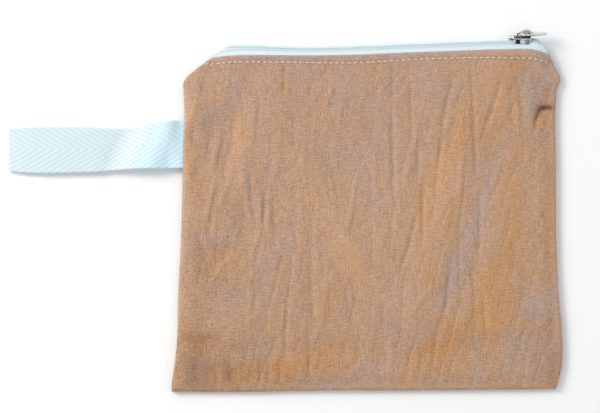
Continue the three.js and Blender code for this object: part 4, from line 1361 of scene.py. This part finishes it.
def window(x, start, end, soft=0.25):
    """1 between start and end, 0 outside, with soft edges."""
    return ease(x, start, start + soft) * (1 - ease(x, end - soft, end))


def slider_stain(points):
    """Painted shade on the plating, 0 to 1: in two hollows of each wall, along the plate's upper edge,
    which is a bell round its height that sinks and widens at the tail, and under the arch."""
    x, aside, z = points[:, 0], np.abs(points[:, 1]), points[:, 2]
    hollows = np.maximum(window(x, *HOLLOW_BACK), HOLLOW_FRONT_SHARE * window(x, *HOLLOW_FRONT))
    hollows = hollows * window(z, *HOLLOW_HEIGHT) * ease(aside, *HOLLOW_FROM)
    at_tail = ease(-x, *TAIL_FROM)
    rim = bump(z - PLATE_HIGH + TAIL_DARK_DROP * at_tail, RIM_DARK_HALF + TAIL_DARK_WIDER * at_tail)
    rim = rim * ease(aside, *RIM_DARK_FROM)
    under_arch = window(z, *ARCH_DARK_HEIGHT) * ease(x, *ARCH_DARK_BACK) * (1 - ease(x, *ARCH_DARK_FRONT))
    return np.clip(hollows + rim + under_arch, 0, 1)


# the painted shade is stored on the slider's points
slider = add_piece("zip_slider", on_slider(slider_points), slider_faces, NICKEL,
                   marks={"stain": slider_stain(slider_points)})
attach(slider, "bag")
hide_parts("slider_body")

# %% [markdown]
# The pull is a flat tapered tab with a slot. The bar at the end of the slot goes through the slider's
# arch, and the tab swings about it from lying forwards to lying back over the zip. It rides on its own
# body, so it turns with the joint. Its faces are a ring between two outlines: the slot inside and the
# tab's edge outside.

# %% Pull
PIVOT = np.array([0.75, 0, 3.6])
PULL_THICK = 1.1
PULL_POINTS = 64
SLOT_START, SLOT_END, SLOT_HALF, SLOT_SQUARE, SLOT_GROW = 0.55, 5.95, 1.15, 0.35, 0.06
TAB_START, TAB_END, TAB_SQUARE = -0.55, 13.85, 0.42
ROOT_HALF, TIP_HALF, TAPER_BETWEEN = 2.7, 1.7, (SLOT_END - 2, TAB_END)
TAB_EDGE = ((0.22, 0.0), (0.06, 0.08), (0.0, 0.25))  # how far in and how far down the rounded edge is


def rounded_outline(start, end, half, square):
    """A rounded oblong from start to end; a square below 1 fills its corners out."""
    c, s = round_turn(PULL_POINTS, square, first=0.5)
    return pack((start + end) / 2 + (end - start) / 2 * c, half * s)


def level(outline, middle, grow, z):
    """An outline at a height, each point moved away from the middle by grow."""
    outward = unit(outline - np.array([middle, 0]))
    return pack(*(outline + outward * grow).T, z)


def pull_tab():
    """Rings from the slot out over the upper face, down the rounded edge and, mirrored, back in below."""
    slot = rounded_outline(SLOT_START, SLOT_END, SLOT_HALF, SLOT_SQUARE)
    tab = rounded_outline(TAB_START, TAB_END, 1.0, TAB_SQUARE)
    tab[:, 1] *= ROOT_HALF + (TIP_HALF - ROOT_HALF) * ease(tab[:, 0], *TAPER_BETWEEN)
    high = PULL_THICK / 2
    upper = [level(slot, (SLOT_START + SLOT_END) / 2, SLOT_GROW, high)]
    upper += [level(tab, (TAB_START + TAB_END) / 2, -inset, high - drop) for inset, drop in TAB_EDGE]
    rings = np.array(upper + [ring * (1, 1, -1) for ring in upper[::-1]])
    columns = grid_faces(len(rings) + 1, PULL_POINTS, around=True)
    faces = columns % rings[..., 0].size
    return add_piece("zip_pull", on_slider(rings.reshape(-1, 3) + PIVOT), [faces[:, ::-1]], NICKEL)


pull = pull_tab()
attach(pull, "pull")
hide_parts("pull_tab")

# %% [markdown]
# The wrist loop is one strip of white herringbone tape, folded back on itself at the left and sewn into
# the side seam at the right, with a hump where the slack upper layer rides up before the seam. The strip
# is a grid along its length and across its width: the upper layer, half a turn at the fold, then the
# lower layer. The herringbone is a relief on the grid, slanting one way in one half of the width and the
# other way in the other, so that its ribs point along the tape.

# %% Strip of the wrist loop
LOOP_LINE = table(
    "x y width upper lower",
    (-201.5, 38.4, 24.4, 1.75, 0.52), (-197, 38.3, 25.2, 2.3, 0.5), (-182, 38.3, 26.4, 3.0, 0.5),
    (-165, 38.4, 25.8, 3.3, 0.5), (-148, 38.4, 24.6, 3.4, 0.5), (-142, 38.6, 23.7, 3.1, 0.5),
    (-136, 38.9, 23.3, 3.8, 0.5), (-130, 39.5, 23.8, 5.1, 0.5), (-124, 40.3, 25.0, 6.4, 0.5),
    (-119, 40.9, 26.2, 7.0, 0.5), (-114, 41.3, 27.0, 6.4, 0.7), (-109, 41.4, 27.0, 4.9, 1.2),
    (-105, 41.4, 26.8, 3.6, 1.8), (-102, 41.4, 26.6, 3.0, 2.0), (-98, 41.4, 26.6, 3.0, 2.0))
STRIP_HALF, LOOP_STEP, LOOP_COLUMNS, FOLD_STEPS = 12.5, 0.5, 51, 9
CREST_SLANT, SLANT_IN, SLANT_OUT = 0.5, (-162, -142), (-114, -105)


def loop_strip():
    """The tape's middle surface: along the upper layer, round the fold in half a circle, back along the
    lower layer. The hump crosses the tape on a slant."""
    middle_y, width, upper_z, lower_z = curves(LOOP_LINE)
    fold_x, seam_x = LOOP_LINE["x"][0], LOOP_LINE["x"][-1]
    q = np.linspace(-1, 1, LOOP_COLUMNS)[None, :]
    x = np.arange(seam_x, fold_x, -LOOP_STEP)[:, None]
    y = middle_y(x) + q * width(x) / 2
    slant = ease(x, *SLANT_IN) * (1 - ease(x, *SLANT_OUT))
    over = pack(x, y, upper_z(x - CREST_SLANT * slant * q * STRIP_HALF))
    under = pack(x, y, lower_z(x))[::-1]
    high, low = upper_z(fold_x), lower_z(fold_x)
    turn = np.linspace(0, np.pi, FOLD_STEPS)[:, None]
    radius = (high - low) / 2
    edge_y = middle_y(fold_x) + q * width(fold_x) / 2
    fold = pack(fold_x - radius * np.sin(turn), edge_y, (high + low) / 2 + radius * np.cos(turn))
    return np.concatenate([over, fold, under])


loop_middle = loop_strip()
print("loop strip, rows and columns:", loop_middle.shape[:2])

# %% [markdown]
# The tape's finish repeats the herringbone as thin grey lines of painted shade between the ribs, where
# the real weave is deepest. White cloth takes up the colours of the light round it, so one side of the
# hump is painted in warm light and the other in bluish shade, and a number stored on the points says
# which.

# %% Herringbone finish
RIB_PITCH, RIB_SLANT, YARNS_PER_RIB, CROSS_YARN = 4.75, 1.8, 6, 0.8
# the lines between the ribs are painted shade
RIB_LINE, LOOP_FIBRE = (0.60, 1.0), (1.2, 1.2, 1.0)
FIBRE_TINT, YARN_TINT, LOOP_RELIEF = 0.9, 0.08, 0.00015
LOOP_WHITE, LOOP_SHADE = (0.70, 0.83, 0.875, 1), (0.56, 0.71, 0.785, 1)
# painted bluish shade and painted warm light for the two sides of the hump
BLUISH_WHITE, BLUISH_SHADE = (0.72, 0.93, 1.0, 1), (0.60, 0.82, 0.93, 1)
WARM_WHITE, WARM_SHADE = (0.77, 0.85, 0.865, 1), (0.64, 0.735, 0.775, 1)


def herringbone_finish():
    """Painted shade makes a thin line in each valley between ribs, noise and yarns shade the white; the
    number named shaded turns it to painted bluish shade above zero and painted warm light below."""
    tape = Finish("white_herringbone")
    cut, along, across = tape.cut_axes()
    phase = along - across.abs() * RIB_SLANT
    rib = phase.wave(RIB_PITCH)
    line = (rib * -1).between(*RIB_LINE)
    fibre = tape.noise(tape.stretch(cut, LOOP_FIBRE), 1.0, detail=3.0)
    yarn = phase.wave(RIB_PITCH / YARNS_PER_RIB) * 0.5 + across.wave(CROSS_YARN) * 0.3
    shade = (line + (fibre - 0.5) * FIBRE_TINT + yarn * YARN_TINT).between(0.0, 1.0)
    white = tape.mix(shade, LOOP_WHITE, LOOP_SHADE)
    bluish = tape.mix(shade, BLUISH_WHITE, BLUISH_SHADE)
    warm = tape.mix(shade, WARM_WHITE, WARM_SHADE)
    shaded = tape.mark("shaded")
    colour = tape.mix(shaded.between(0.0, 1.0), white, bluish)
    colour = tape.mix((shaded * -1).between(0.0, 1.0), colour, warm)
    tape.set(Base_Color=colour, Roughness=0.9, Specular_IOR_Level=0.2,
             Normal=tape.bump(yarn * 0.5 + fibre, LOOP_RELIEF, strength=0.5))
    return tape.material


HERRINGBONE = herringbone_finish()
print("finish:", HERRINGBONE.name)

# %% [markdown]
# The loop itself is a wall round the strip's middle surface. Its own flat coordinates run along the tape
# and across it, so that the finish follows the tape round the fold.

# %% Wrist loop
LOOP_THICK, SELVEDGE, SELVEDGE_LEAST = 0.9, 0.7, 0.05
RIB_HEIGHT, RIB_BELOW = 0.08, 0.4
# where the painted bluish shade and the painted warm light lie along the hump
BLUISH_FROM = (-129.0, -118.0)
WARM_AT, WARM_HALF = -133.0, 7.0


def wrist_loop(middle):
    """A wall round the strip's middle surface: half the thickness each way, thinner at the selvedges,
    plus the ribs, a sine of the length along the tape less a share of the distance from its middle."""
    run = np.linalg.norm(np.diff(middle[:, LOOP_COLUMNS // 2], axis=0), axis=1)
    along = np.concatenate([[0], np.cumsum(run)])[:, None]
    across = np.linspace(-STRIP_HALF, STRIP_HALF, LOOP_COLUMNS)[None, :]
    outward = unit(np.cross(np.gradient(middle, axis=1), np.gradient(middle, axis=0)))
    rib = RIB_HEIGHT * np.sin(2 * np.pi * (along - RIB_SLANT * np.abs(across)) / RIB_PITCH)
    half = LOOP_THICK / 2 * quarter_round(STRIP_HALF - np.abs(across), SELVEDGE, SELVEDGE_LEAST)
    upper = middle + outward * (half + rib)[..., None]
    lower = middle - outward * (half - RIB_BELOW * rib)[..., None]
    points, faces = wall(upper, lower)
    cut = np.tile(pack(along, across).reshape(-1, 2), (2, 1))
    crest = points[:, 0] - CREST_SLANT * (points[:, 1] - LOOP_Y)
    marks = {"shaded": ease(crest, *BLUISH_FROM) - bump(crest - WARM_AT, WARM_HALF)}
    print("loop tape length, mm:", round(float(along[-1, 0]), 1))
    return add_piece("wrist_loop_tape", points, faces, HERRINGBONE, cut, marks)


loop = wrist_loop(loop_middle)
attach(loop, "bag")
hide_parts("wrist_loop")

# %% [markdown]
